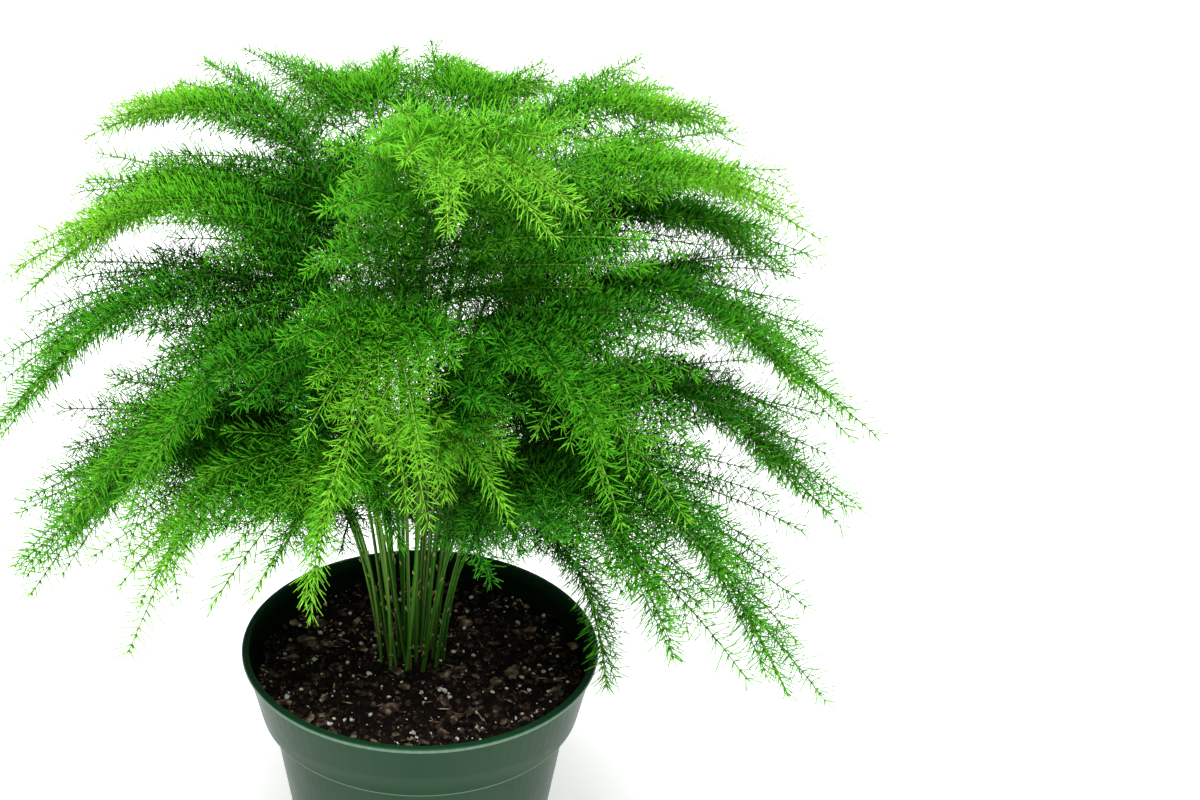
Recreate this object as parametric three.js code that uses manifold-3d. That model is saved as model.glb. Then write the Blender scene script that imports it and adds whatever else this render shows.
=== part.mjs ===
// A potted foxtail fern: arching asparagus fronds in a round nursery pot.
//
// Every frond is one closed skin. It starts as a four-sided stem, branches are
// drawn out of single facets of the stem, and needles are raised from facets
// of the branches, so nothing has to be welded on. Fronds never touch each
// other: what would cross a neighbour is bent clear, shortened or left out.
//
// Millimetres, +Z up, origin at the centre of the pot's underside.

import * as THREE from 'three';
import { mergeVertices } from 'three/addons/utils/BufferGeometryUtils.js';
import Module from 'manifold-3d';

// ---------------------------------------------------------------- dimensions

const POT = {
  height: 146,
  wall: 1.5,
  floor: 2,
  baseRadius: 53,
  bodyTopRadius: 70,
  collarDepth: 31,
  collarFootRadius: 74.7,
  collarTopRadius: 80.7,
  lipRadius: 82.5,
  lipThickness: 2,
  lipWidth: 3.6,
  segments: 32,
};
const DRAIN = { count: 4, radius: 4.5, ringRadius: 36, sides: 8 };
const SOIL = {
  surface: 132,
  gap: 0.3,
  lumpHeight: 1.6,
  flatRadius: 17,
  topRings: [20, 40, 60],
};
const CLUMP = { x: -4, y: 8 };
const SOCKET = { depth: 24, clearance: 0.4 };
const STEM = {
  radius: 1.3,
  tipRadius: 0.7,
  stations: 3,
  siteLength: 1.6,
  tipWhorls: [0.96],
};
// Angles in degrees. A branch leaves its stem at rootAngle at the start of the
// blade and at rootAngle - angleDrop at the tip; leanOut turns it from the
// stem's own direction towards the frond's heading, less and less up the blade.
const BRANCH = {
  footRadius: 1.05,
  rootRadius: 0.62,
  tipRadius: 0.42,
  bareFoot: 2.6,
  rootAngle: 56,
  angleDrop: 38,
  anglePower: 0.6,
  angleSpread: 5,
  riseSpread: 0.1,
  leanOut: 0.7,
  leanFade: 0.8,
  forwardCurl: 0.15,
  droop: 0.2,
  droopSpread: 0.1,
};
// Lengths of the branches up the blade, as shares of the frond's spread.
const BLADE = { firstShare: 0.5, fullAt: 0.12, taper: 0.35, unevenness: 0.3, last: 0.9 };
const WHORL = { length: 0.85, spacing: 32, most: 3, last: 0.84, stagger: 0.06 };
const NEEDLE = { length: 9, tipShare: 0.8, angle: 60, radius: 0.3 };
const SITES = 30;
const CLEAR = { nodes: 0.5, self: 0.3, potRim: 3, soil: 7, cell: 14 };
const SEED = 7;

const TONES = {
  mid: 0x2f8f1a,
  lime: 0x7cc41f,
};

// Each frond: azimuth in degrees (0 to the right, 90 to the back), the arch as
// [distance from the clump's axis, height above the soil] control points, a
// sideways sway of the tip, where the blade starts along the arch, the reach
// of its longest side branches, and how many pairs of them it carries.
const CROWN = [
  { name: 'crown_right_back', azimuth: 26, arch: [[14, 110], [20, 266], [58, 276], [128, 246]],
    sway: -6, blade: 0.36, spread: 64, pairs: 5, tone: 'mid' },
  { name: 'crown_back_right', azimuth: 66, arch: [[14, 110], [20, 266], [50, 279], [112, 236]],
    sway: 6, blade: 0.34, spread: 72, pairs: 5, tone: 'mid' },
  { name: 'crown_back', azimuth: 104, arch: [[10, 110], [16, 268], [46, 280], [106, 236]],
    sway: 6, blade: 0.34, spread: 78, pairs: 4, tone: 'mid' },
  { name: 'crown_left_back', azimuth: 152, arch: [[14, 110], [20, 264], [58, 276], [128, 246]],
    sway: 6, blade: 0.36, spread: 66, pairs: 5, tone: 'mid' },
  { name: 'crown_left', azimuth: 186, arch: [[16, 100], [26, 242], [62, 254], [142, 208]],
    sway: -6, blade: 0.36, spread: 66, pairs: 5, tone: 'mid' },
  { name: 'crown_front', azimuth: 284, arch: [[10, 110], [13, 260], [36, 278], [66, 266]],
    sway: 3, blade: 0.4, spread: 82, pairs: 5, tone: 'lime' },
  { name: 'crown_right', azimuth: 356, arch: [[16, 105], [26, 252], [64, 264], [134, 230]],
    sway: 6, blade: 0.36, spread: 72, pairs: 5, tone: 'mid' },
];
const SIDE = [
  { name: 'side_right_back', azimuth: 12, arch: [[18, 90], [28, 225], [82, 240], [150, 196]],
    sway: -6, blade: 0.36, spread: 72, pairs: 5, tone: 'mid' },
  { name: 'side_back_right', azimuth: 66, arch: [[18, 90], [26, 225], [76, 245], [134, 156]],
    sway: -6, blade: 0.36, spread: 66, pairs: 4, tone: 'mid' },
  { name: 'side_back_left', azimuth: 114, arch: [[18, 90], [26, 230], [76, 250], [134, 160]],
    sway: 6, blade: 0.36, spread: 66, pairs: 4, tone: 'mid' },
  { name: 'side_left_back', azimuth: 160, arch: [[18, 95], [26, 232], [72, 246], [132, 204]],
    sway: 6, blade: 0.36, spread: 62, pairs: 5, tone: 'mid' },
  { name: 'side_left', azimuth: 190, arch: [[19, 90], [28, 222], [84, 238], [166, 148]],
    sway: 8, blade: 0.36, spread: 64, pairs: 5, tone: 'mid' },
  { name: 'side_left_front', azimuth: 220, arch: [[19, 80], [28, 195], [74, 222], [130, 140]],
    sway: -8, blade: 0.36, spread: 64, pairs: 5, tone: 'mid' },
  { name: 'side_front', azimuth: 262, arch: [[14, 80], [20, 210], [56, 232], [90, 168]],
    sway: 3, blade: 0.38, spread: 64, pairs: 4, tone: 'mid' },
  { name: 'side_front_right', azimuth: 306, arch: [[18, 80], [28, 205], [72, 228], [118, 160]],
    sway: 6, blade: 0.36, spread: 64, pairs: 5, tone: 'mid' },
  { name: 'side_right', azimuth: 350, arch: [[19, 90], [30, 215], [88, 230], [164, 154]],
    sway: 6, blade: 0.36, spread: 76, pairs: 5, tone: 'mid' },
];
const SKIRT = [
  { name: 'skirt_right_back', azimuth: 48, arch: [[21, 60], [33, 138], [92, 172], [132, 20]],
    sway: 6, blade: 0.27, spread: 76, pairs: 5, tone: 'mid' },
  { name: 'skirt_back', azimuth: 78, arch: [[20, 48], [30, 84], [70, 98], [98, -4]],
    sway: 2, blade: 0.3, spread: 84, pairs: 4, tone: 'mid' },
  { name: 'skirt_left_back', azimuth: 132, arch: [[21, 60], [33, 138], [92, 172], [130, 20]],
    sway: -6, blade: 0.27, spread: 76, pairs: 5, tone: 'mid' },
  { name: 'skirt_left', azimuth: 178, arch: [[21, 62], [33, 138], [86, 156], [138, 78]],
    sway: 6, blade: 0.34, spread: 68, pairs: 5, tone: 'mid' },
  { name: 'skirt_left_front', azimuth: 200, arch: [[21, 60], [32, 142], [90, 174], [150, 92]],
    sway: -6, blade: 0.34, spread: 72, pairs: 5, tone: 'mid' },
  { name: 'skirt_front_left', azimuth: 218, arch: [[20, 58], [30, 134], [82, 168], [132, 98]],
    sway: 5, blade: 0.36, spread: 64, pairs: 5, tone: 'mid' },
  { name: 'skirt_front', azimuth: 240, arch: [[19, 55], [26, 130], [64, 176], [88, 108]],
    sway: 4, blade: 0.4, spread: 62, pairs: 4, tone: 'mid' },
  { name: 'skirt_front_mid', azimuth: 280, arch: [[18, 55], [23, 134], [52, 178], [72, 142]],
    sway: 4, blade: 0.42, spread: 50, pairs: 4, tone: 'mid' },
  { name: 'skirt_front_right', azimuth: 314, arch: [[20, 58], [30, 132], [86, 168], [142, 84]],
    sway: 6, blade: 0.36, spread: 66, pairs: 5, tone: 'mid' },
  { name: 'skirt_right_front', azimuth: 336, arch: [[21, 62], [33, 146], [98, 178], [176, 34]],
    sway: -6, blade: 0.34, spread: 68, pairs: 5, tone: 'mid' },
  { name: 'skirt_right_whip', azimuth: 331, arch: [[21, 62], [30, 100], [84, 122], [97, 14]],
    sway: 4, blade: 0.52, spread: 20, pairs: 3, tone: 'mid' },
  { name: 'skirt_right', azimuth: 356, arch: [[21, 62], [33, 154], [98, 190], [172, 92]],
    sway: 6, blade: 0.34, spread: 76, pairs: 5, tone: 'mid' },
];
// Stems of a tier stand evenly round one ring of the clump.
const TIERS = [
  { fronds: CROWN, rootRadius: 5.6, rootTurn: 36 },
  { fronds: SIDE, rootRadius: 10.4, rootTurn: 26 },
  { fronds: SKIRT, rootRadius: 15, rootTurn: 50 },
];

// ------------------------------------------------------------ small helpers

const UP = new THREE.Vector3(0, 0, 1);
const radians = THREE.MathUtils.degToRad;
const clamp = THREE.MathUtils.clamp;

/** A repeatable number from -1 to 1 for three whole numbers. */
function draw(a, b, c) {
  const v = Math.sin(a * 12.9898 + b * 78.233 + c * 37.719 + SEED) * 43758.5453;
  return 2 * (v - Math.floor(v)) - 1;
}

/** Sum of vectors, each with its weight. */
function mix(...terms) {
  const sum = new THREE.Vector3();
  for (const [vector, weight] of terms) sum.addScaledVector(vector, weight);
  return sum;
}

/** The point at t on the curve that the control points span (de Casteljau). */
function onCurve(points, t) {
  let level = points.map((p) => p.clone());
  while (level.length > 1) {
    level = level.slice(1).map((p, i) => level[i].clone().lerp(p, t));
  }
  return level[0];
}

/** Shortest distance between two straight segments. */
function segmentDistance(p, q) {
  const u = q.b.clone().sub(q.a);
  const v = p.b.clone().sub(p.a);
  const w = p.a.clone().sub(q.a);
  const a = v.dot(v);
  const b = v.dot(u);
  const c = u.dot(u);
  const d = v.dot(w);
  const e = u.dot(w);
  const span = a * c - b * b;
  let s = span > 1e-9 ? clamp((b * e - c * d) / span, 0, 1) : 0;
  const t = clamp((b * s + e) / c, 0, 1);
  s = clamp((b * t - d) / a, 0, 1);
  return p.a.clone().addScaledVector(v, s).distanceTo(q.a.clone().addScaledVector(u, t));
}

// -------------------------------------------------------- what stands where

/** Keeps every stem, branch and needle, and tells whether a new one is clear. */
class Thicket {
  constructor() {
    this.cells = new Map();
  }

  keysOf(segment) {
    const low = segment.a.clone().min(segment.b).subScalar(2).divideScalar(CLEAR.cell).floor();
    const high = segment.a.clone().max(segment.b).addScalar(2).divideScalar(CLEAR.cell).floor();
    const keys = [];
    for (let x = low.x; x <= high.x; x += 1) {
      for (let y = low.y; y <= high.y; y += 1) {
        for (let z = low.z; z <= high.z; z += 1) keys.push(`${x},${y},${z}`);
      }
    }
    return keys;
  }

  add(segments) {
    for (const segment of segments) {
      for (const key of this.keysOf(segment)) {
        if (!this.cells.has(key)) this.cells.set(key, []);
        this.cells.get(key).push(segment);
      }
    }
  }

  /** True where no kept segment comes too close; `kin` are families to skip. */
  isClear(segment, kin) {
    for (const key of this.keysOf(segment)) {
      for (const other of this.cells.get(key) ?? []) {
        if (kin.includes(other.family)) continue;
        const room = other.frond === segment.frond ? CLEAR.self : CLEAR.nodes;
        if (segmentDistance(segment, other) < segment.radius + other.radius + room) return false;
      }
    }
    return true;
  }
}

/** True where a point keeps clear of the pot's rim and of the soil. */
function clearOfPot(point) {
  const radius = Math.hypot(point.x, point.y);
  if (radius < POT.lipRadius + CLEAR.potRim) {
    const floor = radius > POT.collarFootRadius - CLEAR.potRim
      ? POT.height + CLEAR.potRim
      : SOIL.surface + CLEAR.soil;
    return point.z > floor;
  }
  return true;
}

// ------------------------------------------------------------- frond layout

/** The frond's own directions: outwards and to its left. */
function headingOf(frond) {
  const angle = radians(frond.azimuth);
  return {
    out: new THREE.Vector3(Math.cos(angle), Math.sin(angle), 0),
    left: new THREE.Vector3(-Math.sin(angle), Math.cos(angle), 0),
  };
}

/** Gives a frond its place in the clump and the curve of its main stem. */
function layOut(frond, index, tier, rank) {
  const { out, left } = headingOf(frond);
  const axis = new THREE.Vector3(CLUMP.x, CLUMP.y, SOIL.surface);
  const turn = radians(tier.rootTurn + (360 * rank) / tier.fronds.length);
  const root = axis.clone().add(
    new THREE.Vector3(Math.cos(turn), Math.sin(turn), 0).multiplyScalar(tier.rootRadius));
  const controls = frond.arch.map(([reach, height]) => mix([axis, 1], [out, reach], [UP, height]));
  return { ...frond, index, out, left, root, controls: [root, ...controls] };
}

function stemPoint(frond, t) {
  return onCurve(frond.controls, t).addScaledVector(frond.left, frond.sway * t * t);
}

function stemDirection(frond, t) {
  const behind = stemPoint(frond, Math.max(0, t - 0.01));
  return stemPoint(frond, Math.min(1, t + 0.01)).sub(behind).normalize();
}

function stemRadius(t) {
  return THREE.MathUtils.lerp(STEM.radius, STEM.tipRadius, t);
}

/** Share of the full reach that a side branch has, s from 0 to 1 up the blade. */
function bladeOutline(s) {
  const swell = THREE.MathUtils.lerp(BLADE.firstShare, 1, Math.min(1, s / BLADE.fullAt));
  return swell * (1 - BLADE.taper * s);
}

/** A side branch as a function of u from 0 to 1, bent up or down by `lift`. */
function branchCurve(frond, slot, lift, share) {
  const s = (slot + 0.5) / SITES;
  const t = frond.blade + (1 - frond.blade) * s * BLADE.last;
  const base = stemPoint(frond, t);
  const outwards = BRANCH.leanOut * (1 - BRANCH.leanFade * s);
  const along = mix([stemDirection(frond, t), 1 - outwards], [frond.out, outwards]).normalize();
  const outward = frond.left.clone().multiplyScalar(slot % 2 ? 1 : -1);
  const above = along.clone().cross(frond.left);
  const angle = radians(BRANCH.rootAngle - BRANCH.angleDrop * s ** BRANCH.anglePower
    + BRANCH.angleSpread * draw(frond.index, slot, 2));
  const start = mix([along, Math.cos(angle)], [outward, Math.sin(angle)],
    [above, BRANCH.riseSpread * draw(frond.index, slot, 3) + lift]).normalize();
  const uneven = 1 + BLADE.unevenness * draw(frond.index, slot, 1);
  const length = share * frond.spread * bladeOutline(s) * uneven;
  const droop = BRANCH.droop + BRANCH.droopSpread * draw(frond.index, slot, 4);
  const point = (u) => mix([base, 1], [start, length * u],
    [along, length * BRANCH.forwardCurl * u * u], [UP, -length * droop * u * u]);
  return { point, length };
}

// ----------------------------------------------------------------- the skin

/** A closed surface that grows out of its own facets. */
class Skin {
  constructor() {
    this.points = [];
    this.faces = [];
  }

  addPoint(point) {
    this.points.push(point);
    return this.points.length - 1;
  }

  /** A ring of points round `centre`; x, y and the growth axis are right-handed. */
  addRing(centre, x, y, radius, angles) {
    return angles.map((angle) => this.addPoint(
      mix([centre, 1], [x, radius * Math.cos(angle)], [y, radius * Math.sin(angle)])));
  }

  /** The two facets of side j between a ring and the next one. */
  facets(ring, next, j) {
    const k = (j + 1) % ring.length;
    return [[ring[j], ring[k], next[k]], [ring[j], next[k], next[j]]];
  }

  bridge(ring, next) {
    ring.forEach((_, j) => this.faces.push(...this.facets(ring, next, j)));
  }

  /** Closes an outline with a fan to one point, or leaves it flat without one. */
  close(outline, apex) {
    if (!apex) {
      for (let i = 1; i < outline.length - 1; i += 1) {
        this.faces.push([outline[0], outline[i], outline[i + 1]]);
      }
      return;
    }
    const tip = this.addPoint(apex);
    outline.forEach((p, i) => this.faces.push([p, outline[(i + 1) % outline.length], tip]));
  }

  centreOf(outline) {
    return mix(...outline.map((i) => [this.points[i], 1 / outline.length]));
  }

  geometry() {
    const geometry = new THREE.BufferGeometry();
    const flat = this.points.flatMap((p) => [p.x, p.y, p.z]);
    geometry.setAttribute('position', new THREE.Float32BufferAttribute(flat, 3));
    geometry.setIndex(this.faces.flat());
    return geometry;
  }
}

// ------------------------------------------------------------------ needles

/** Raises a needle from an outline where its way is clear, else leaves it flat. */
function growNeedle(skin, thicket, outline, shoot, radial, length) {
  const root = skin.centreOf(outline);
  for (const lean of [0, 12, -14, 24]) {
    const angle = radians(NEEDLE.angle + lean);
    const direction = mix([shoot.along, Math.cos(angle)], [radial, Math.sin(angle)]);
    const tip = mix([root, 1], [direction, length]);
    const segment = {
      a: mix([root, 1], [direction, 0.6]), b: tip, radius: NEEDLE.radius,
      frond: shoot.frond, family: shoot.family,
    };
    if (clearOfPot(tip) && thicket.isClear(segment, shoot.kin)) {
      thicket.add([segment]);
      skin.close(outline, tip);
      return;
    }
  }
  skin.close(outline, null);
}

// ----------------------------------------------------------------- branches

const TRIAD = [0, 120, 240].map(radians);

/** Axes across a shoot, turned so that its ring faces the outline it leaves. */
function axesAt(direction, hint) {
  const x = hint.clone().addScaledVector(direction, -hint.dot(direction)).normalize();
  return { x, y: direction.clone().cross(x) };
}

/** Where along a branch its whorls stand, as shares of its length. */
function whorlPlaces(frond, slot, length) {
  const whorls = clamp(Math.round(length / WHORL.spacing), 1, WHORL.most);
  return Array.from({ length: whorls }, (_, w) => {
    const stagger = w < whorls - 1 ? WHORL.stagger * draw(frond.index, slot, 10 + w) : 0;
    return (WHORL.last * (w + 1)) / whorls + stagger;
  });
}

/** Where along the stem the pair of branches in a slot and the next one stands. */
function siteOf(frond, slot) {
  return frond.blade + (1 - frond.blade) * ((slot + 1) / SITES) * BLADE.last;
}

/** The straight pieces of a branch, as the thicket keeps them. */
function branchSegments(frond, slot, curve, family, places) {
  const ends = [...places, 1].map(curve.point);
  const foot = stemPoint(frond, siteOf(frond, slot - (slot % 2)));
  ends.unshift(foot.lerp(ends[0], BRANCH.bareFoot / curve.length));
  return ends.slice(1).map((b, i) => ({
    a: ends[i], b, radius: i === 0 ? BRANCH.footRadius : BRANCH.rootRadius,
    frond: frond.index, family,
  }));
}

/** Finds a clear way for a branch: as drawn, bent up or down, then shorter. */
function planBranch(frond, slot, thicket) {
  const family = `${frond.index}:${slot}`;
  const partner = slot % 2 ? slot - 1 : slot + 1;
  const kin = [family, `${frond.index}:${partner}`, `${frond.index}:stem`];
  for (const share of [1, 0.8, 0.6]) {
    for (const lift of [0, 0.14, -0.14, 0.28, -0.28, 0.42, -0.42]) {
      const curve = branchCurve(frond, slot, lift, share);
      const places = whorlPlaces(frond, slot, curve.length);
      const segments = branchSegments(frond, slot, curve, family, places);
      const far = segments.slice(1);
      const clear = thicket.isClear(segments[0], kin)
        && far.every((segment) => thicket.isClear(segment, [family]))
        && segments.every((segment) => clearOfPot(segment.b));
      if (clear) {
        thicket.add(segments);
        return { curve, family, places };
      }
    }
  }
  return null;
}

/** Raises two needles from every side between two rings that lie close together. */
function growWhorl(skin, thicket, [lower, upper], axes, spokes, shoot, length) {
  const side = Math.PI / spokes.length;
  for (let j = 0; j < spokes.length; j += 1) {
    skin.facets(lower, upper, j).forEach((outline, half) => {
      const angle = spokes[j] + side * (half === 0 ? 1.5 : 0.5);
      const radial = mix([axes.x, Math.cos(angle)], [axes.y, Math.sin(angle)]);
      growNeedle(skin, thicket, outline, shoot, radial, length);
    });
  }
}

/** Draws a branch out of one facet of the stem, with whorls of six needles. */
function growBranch(skin, thicket, frond, facet, plan) {
  const { curve, family, places } = plan;
  const radiusAt = (u) => THREE.MathUtils.lerp(BRANCH.rootRadius, BRANCH.tipRadius, u);
  const directionAt = (u) => curve.point(Math.min(1, u + 0.02))
    .sub(curve.point(Math.max(0, u - 0.02))).normalize();

  let direction = directionAt(0.02);
  const centre = skin.centreOf(facet);
  let axes = axesAt(direction, skin.points[facet[0]].clone().sub(centre));
  const phase = facet.reduce((sum, point, j) => {
    const arm = skin.points[point].clone().sub(centre);
    const turn = Math.atan2(arm.dot(axes.y), arm.dot(axes.x)) - TRIAD[j];
    return sum + Math.atan2(Math.sin(turn), Math.cos(turn)) / 3;
  }, 0);
  const spokes = TRIAD.map((angle) => angle + phase);
  const addStation = (u) => {
    direction = directionAt(u);
    axes = axesAt(direction, axes.x);
    return skin.addRing(curve.point(u), axes.x, axes.y, radiusAt(u), spokes);
  };

  let ring = facet;
  for (const u of places) {
    const lower = addStation(u);
    skin.bridge(ring, lower);
    const upper = addStation(u + WHORL.length / curve.length);
    const shoot = { along: direction, frond: frond.index, family: `${family}:${u}` };
    shoot.kin = [family, shoot.family];
    const length = NEEDLE.length * THREE.MathUtils.lerp(1, NEEDLE.tipShare, u);
    growWhorl(skin, thicket, [lower, upper], axes, spokes, shoot, length);
    ring = upper;
  }
  skin.close(ring, curve.point(1));
}

// ------------------------------------------------------------------- fronds

const SQUARE = [-45, 45, 135, 225].map(radians);

/** The slots along the blade where pairs of side branches stand, all even. */
function pairSlots(frond) {
  return Array.from({ length: frond.pairs },
    (_, i) => 2 * Math.round((i * (SITES / 2 - 1)) / (frond.pairs - 1)));
}

/** Where a stem bends: up to the blade, at its branches, and between them. */
function stemPlaces(frond) {
  const low = Array.from({ length: STEM.stations }, (_, i) => (frond.blade * i) / STEM.stations);
  const sites = [...pairSlots(frond).map((slot) => siteOf(frond, slot)), ...STEM.tipWhorls];
  const between = sites.slice(1).map((t, i) => (sites[i] + t) / 2);
  return [...low, ...sites, ...between, 1].sort((a, b) => a - b);
}

/** The straight pieces of a main stem, as the thicket keeps them. */
function stemSegments(frond) {
  const places = stemPlaces(frond);
  return places.slice(1).map((t, i) => ({
    a: stemPoint(frond, places[i]), b: stemPoint(frond, t),
    radius: stemRadius(places[i]), frond: frond.index, family: `${frond.index}:stem`,
  }));
}

/** Side branches of a frond, keyed by the slot they stand in. */
function planFrond(frond, thicket) {
  const plans = new Map();
  for (const slot of pairSlots(frond)) {
    for (const side of [slot, slot + 1]) plans.set(side, planBranch(frond, side, thicket));
  }
  return plans;
}

/** Carries a stem's skin on to the place t. */
function extendStem(skin, frond, ring, t) {
  const along = t === 0 ? UP : stemDirection(frond, t);
  const next = skin.addRing(stemPoint(frond, t), frond.left, along.clone().cross(frond.left),
    stemRadius(t), SQUARE);
  skin.bridge(ring, next);
  return next;
}

/** The bare stem, from the bottom of its socket towards the blade. */
function growStem(skin, frond) {
  const foot = frond.root.clone().addScaledVector(UP, -SOCKET.depth);
  const inward = UP.clone().cross(frond.left);
  let ring = skin.addRing(foot, frond.left, inward, STEM.radius, SQUARE);
  skin.close([...ring].reverse(), null);
  for (const t of stemPlaces(frond).slice(0, STEM.stations)) {
    ring = extendStem(skin, frond, ring, t);
  }
  return ring;
}

/** Two rings close together across the stem, with the axes that they share. */
function addCollar(skin, frond, ring, t) {
  const centre = stemPoint(frond, t);
  const along = stemDirection(frond, t);
  const axes = { x: frond.left, y: along.clone().cross(frond.left) };
  const [lower, upper] = [-0.5, 0.5].map((share) => skin.addRing(
    mix([centre, 1], [along, share * STEM.siteLength]), axes.x, axes.y, stemRadius(t), SQUARE));
  skin.bridge(ring, lower);
  return { lower, upper, along, axes };
}

/** The whole frond as one closed skin. */
function growFrond(frond, plans, thicket) {
  const skin = new Skin();
  const stemFamily = `${frond.index}:stem`;
  let ring = growStem(skin, frond);
  let last = null;
  const bendOnTo = (t) => {
    if (last !== null) ring = extendStem(skin, frond, ring, (last + t) / 2);
    last = t;
  };
  for (const slot of pairSlots(frond)) {
    bendOnTo(siteOf(frond, slot));
    const { lower, upper, along, axes } = addCollar(skin, frond, ring, last);
    const shoot = { along, frond: frond.index, family: `${stemFamily}:${slot}` };
    shoot.kin = [stemFamily, shoot.family];
    for (const [side, bough] of [[0, slot + 1], [2, slot]]) {
      const [outline, spare] = skin.facets(lower, upper, side);
      const plan = plans.get(bough);
      if (plan) growBranch(skin, thicket, frond, outline, plan);
      else skin.close(outline, null);
      skin.close(spare, null);
    }
    for (const [side, radial] of [[1, axes.y], [3, axes.y.clone().negate()]]) {
      const outline = [lower[side], lower[(side + 1) % 4], upper[(side + 1) % 4], upper[side]];
      growNeedle(skin, thicket, outline, shoot, radial, NEEDLE.length);
    }
    ring = upper;
  }
  for (const t of STEM.tipWhorls) {
    bendOnTo(t);
    const { lower, upper, along, axes } = addCollar(skin, frond, ring, t);
    const shoot = { along, frond: frond.index, family: `${stemFamily}:${t}` };
    shoot.kin = [stemFamily, shoot.family];
    growWhorl(skin, thicket, [lower, upper], axes, SQUARE, shoot, NEEDLE.length * NEEDLE.tipShare);
    ring = upper;
  }
  skin.close(ring, stemPoint(frond, 1));
  return skin.geometry();
}

// ------------------------------------------------------------ pot and soil

/** Outline from axis to axis turned round the pot's axis, which is +Z. */
function turned(outline, segments) {
  const points = outline.map(([radius, height]) => new THREE.Vector2(radius, height));
  const geometry = new THREE.LatheGeometry(points, segments);
  geometry.rotateX(Math.PI / 2);
  return geometry;
}

/** Radius of the pot's inner wall at a height. */
function innerRadius(height) {
  const shelf = POT.height - POT.collarDepth;
  if (height < shelf) {
    return THREE.MathUtils.lerp(POT.baseRadius, POT.bodyTopRadius, height / shelf) - POT.wall;
  }
  const share = (height - shelf) / POT.collarDepth;
  return THREE.MathUtils.lerp(POT.collarFootRadius, POT.collarTopRadius, share) - POT.wall;
}

function potGeometry() {
  const shelf = POT.height - POT.collarDepth;
  const underLip = POT.height - POT.lipThickness;
  const lipInner = POT.lipRadius - POT.lipWidth;
  return turned([
    [0, 0],
    [POT.baseRadius, 0],
    [POT.bodyTopRadius, shelf],
    [POT.collarFootRadius, shelf],
    [POT.collarTopRadius, underLip - 1],
    [POT.lipRadius, underLip],
    [POT.lipRadius - 0.4, POT.height],
    [lipInner, POT.height],
    [innerRadius(underLip), underLip - 1],
    [innerRadius(shelf + POT.wall), shelf + POT.wall],
    [POT.bodyTopRadius - POT.wall, shelf + POT.wall],
    [innerRadius(POT.floor), POT.floor],
    [0, POT.floor],
  ], POT.segments);
}

/** Height of the soil's lumpy surface at a place, flat round the stems. */
function soilHeight(x, y) {
  const away = Math.hypot(x - CLUMP.x, y - CLUMP.y);
  const fade = clamp((away - SOIL.flatRadius) / 8, 0, 1);
  const lumps = Math.sin(0.21 * x + 1.3) * Math.cos(0.19 * y - 0.4)
    + 0.6 * Math.sin(0.37 * x - 0.29 * y + 2.1);
  return SOIL.surface + fade * SOIL.lumpHeight * lumps;
}

function soilGeometry() {
  const skin = new Skin();
  const shelf = POT.height - POT.collarDepth + POT.wall;
  const spokes = Array.from({ length: POT.segments }, (_, i) => (2 * Math.PI * i) / POT.segments);
  const ringAt = (radius, heightOf) => spokes.map((angle) => {
    const x = radius * Math.cos(angle);
    const y = radius * Math.sin(angle);
    return skin.addPoint(new THREE.Vector3(x, y, heightOf(x, y)));
  });
  const level = (height) => () => height;
  const bottom = POT.floor + SOIL.gap;
  const bodyTop = POT.bodyTopRadius - POT.wall - SOIL.gap;
  const rim = innerRadius(SOIL.surface) - 2 * SOIL.gap;
  const rings = [
    ringAt(innerRadius(bottom) - SOIL.gap, level(bottom)),
    ringAt(bodyTop, level(shelf + SOIL.gap)),
    ringAt(innerRadius(shelf + SOIL.gap) - SOIL.gap, level(shelf + SOIL.gap)),
    ringAt(rim, soilHeight),
    ...[...SOIL.topRings].reverse().map((radius) => ringAt(radius, soilHeight)),
  ];
  const downwards = [...rings[0]].reverse();
  skin.close(downwards, new THREE.Vector3(0, 0, bottom));
  rings.slice(1).forEach((ring, i) => skin.bridge(rings[i], ring));
  skin.close(rings.at(-1), new THREE.Vector3(0, 0, soilHeight(0, 0)));
  return skin.geometry();
}

// ----------------------------------------------------------------- booleans

const wasm = await Module();
wasm.setup();

function toSolid(geometry) {
  const bare = geometry.clone();
  bare.deleteAttribute('normal');
  bare.deleteAttribute('uv');
  const merged = mergeVertices(bare, 1e-4);
  return new wasm.Manifold(new wasm.Mesh({
    numProp: 3,
    vertProperties: new Float32Array(merged.attributes.position.array),
    triVerts: new Uint32Array(merged.index.array),
  }));
}

function toGeometry(solid) {
  const mesh = solid.getMesh();
  const geometry = new THREE.BufferGeometry();
  geometry.setAttribute('position', new THREE.BufferAttribute(mesh.vertProperties, 3));
  geometry.setIndex(new THREE.BufferAttribute(mesh.triVerts, 1));
  return geometry;
}

/** The geometry with every upright pin in the list cut away. */
function drilled(geometry, pins) {
  let solid = toSolid(geometry);
  for (const pin of pins) solid = solid.subtract(toSolid(pin));
  return toGeometry(solid);
}

/** An upright pin from one height to another, turned about its own axis. */
function uprightPin({ x, y }, radius, sides, turn, from, to) {
  const pin = new THREE.CylinderGeometry(radius, radius, to - from, sides);
  pin.rotateX(Math.PI / 2);
  pin.rotateZ(turn);
  pin.translate(x, y, (from + to) / 2);
  return pin;
}

function drainPins() {
  return Array.from({ length: DRAIN.count }, (_, i) => {
    const angle = (2 * Math.PI * (i + 0.5)) / DRAIN.count;
    const place = {
      x: DRAIN.ringRadius * Math.cos(angle),
      y: DRAIN.ringRadius * Math.sin(angle),
    };
    return uprightPin(place, DRAIN.radius, DRAIN.sides, angle, -1, POT.floor + 1);
  });
}

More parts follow.
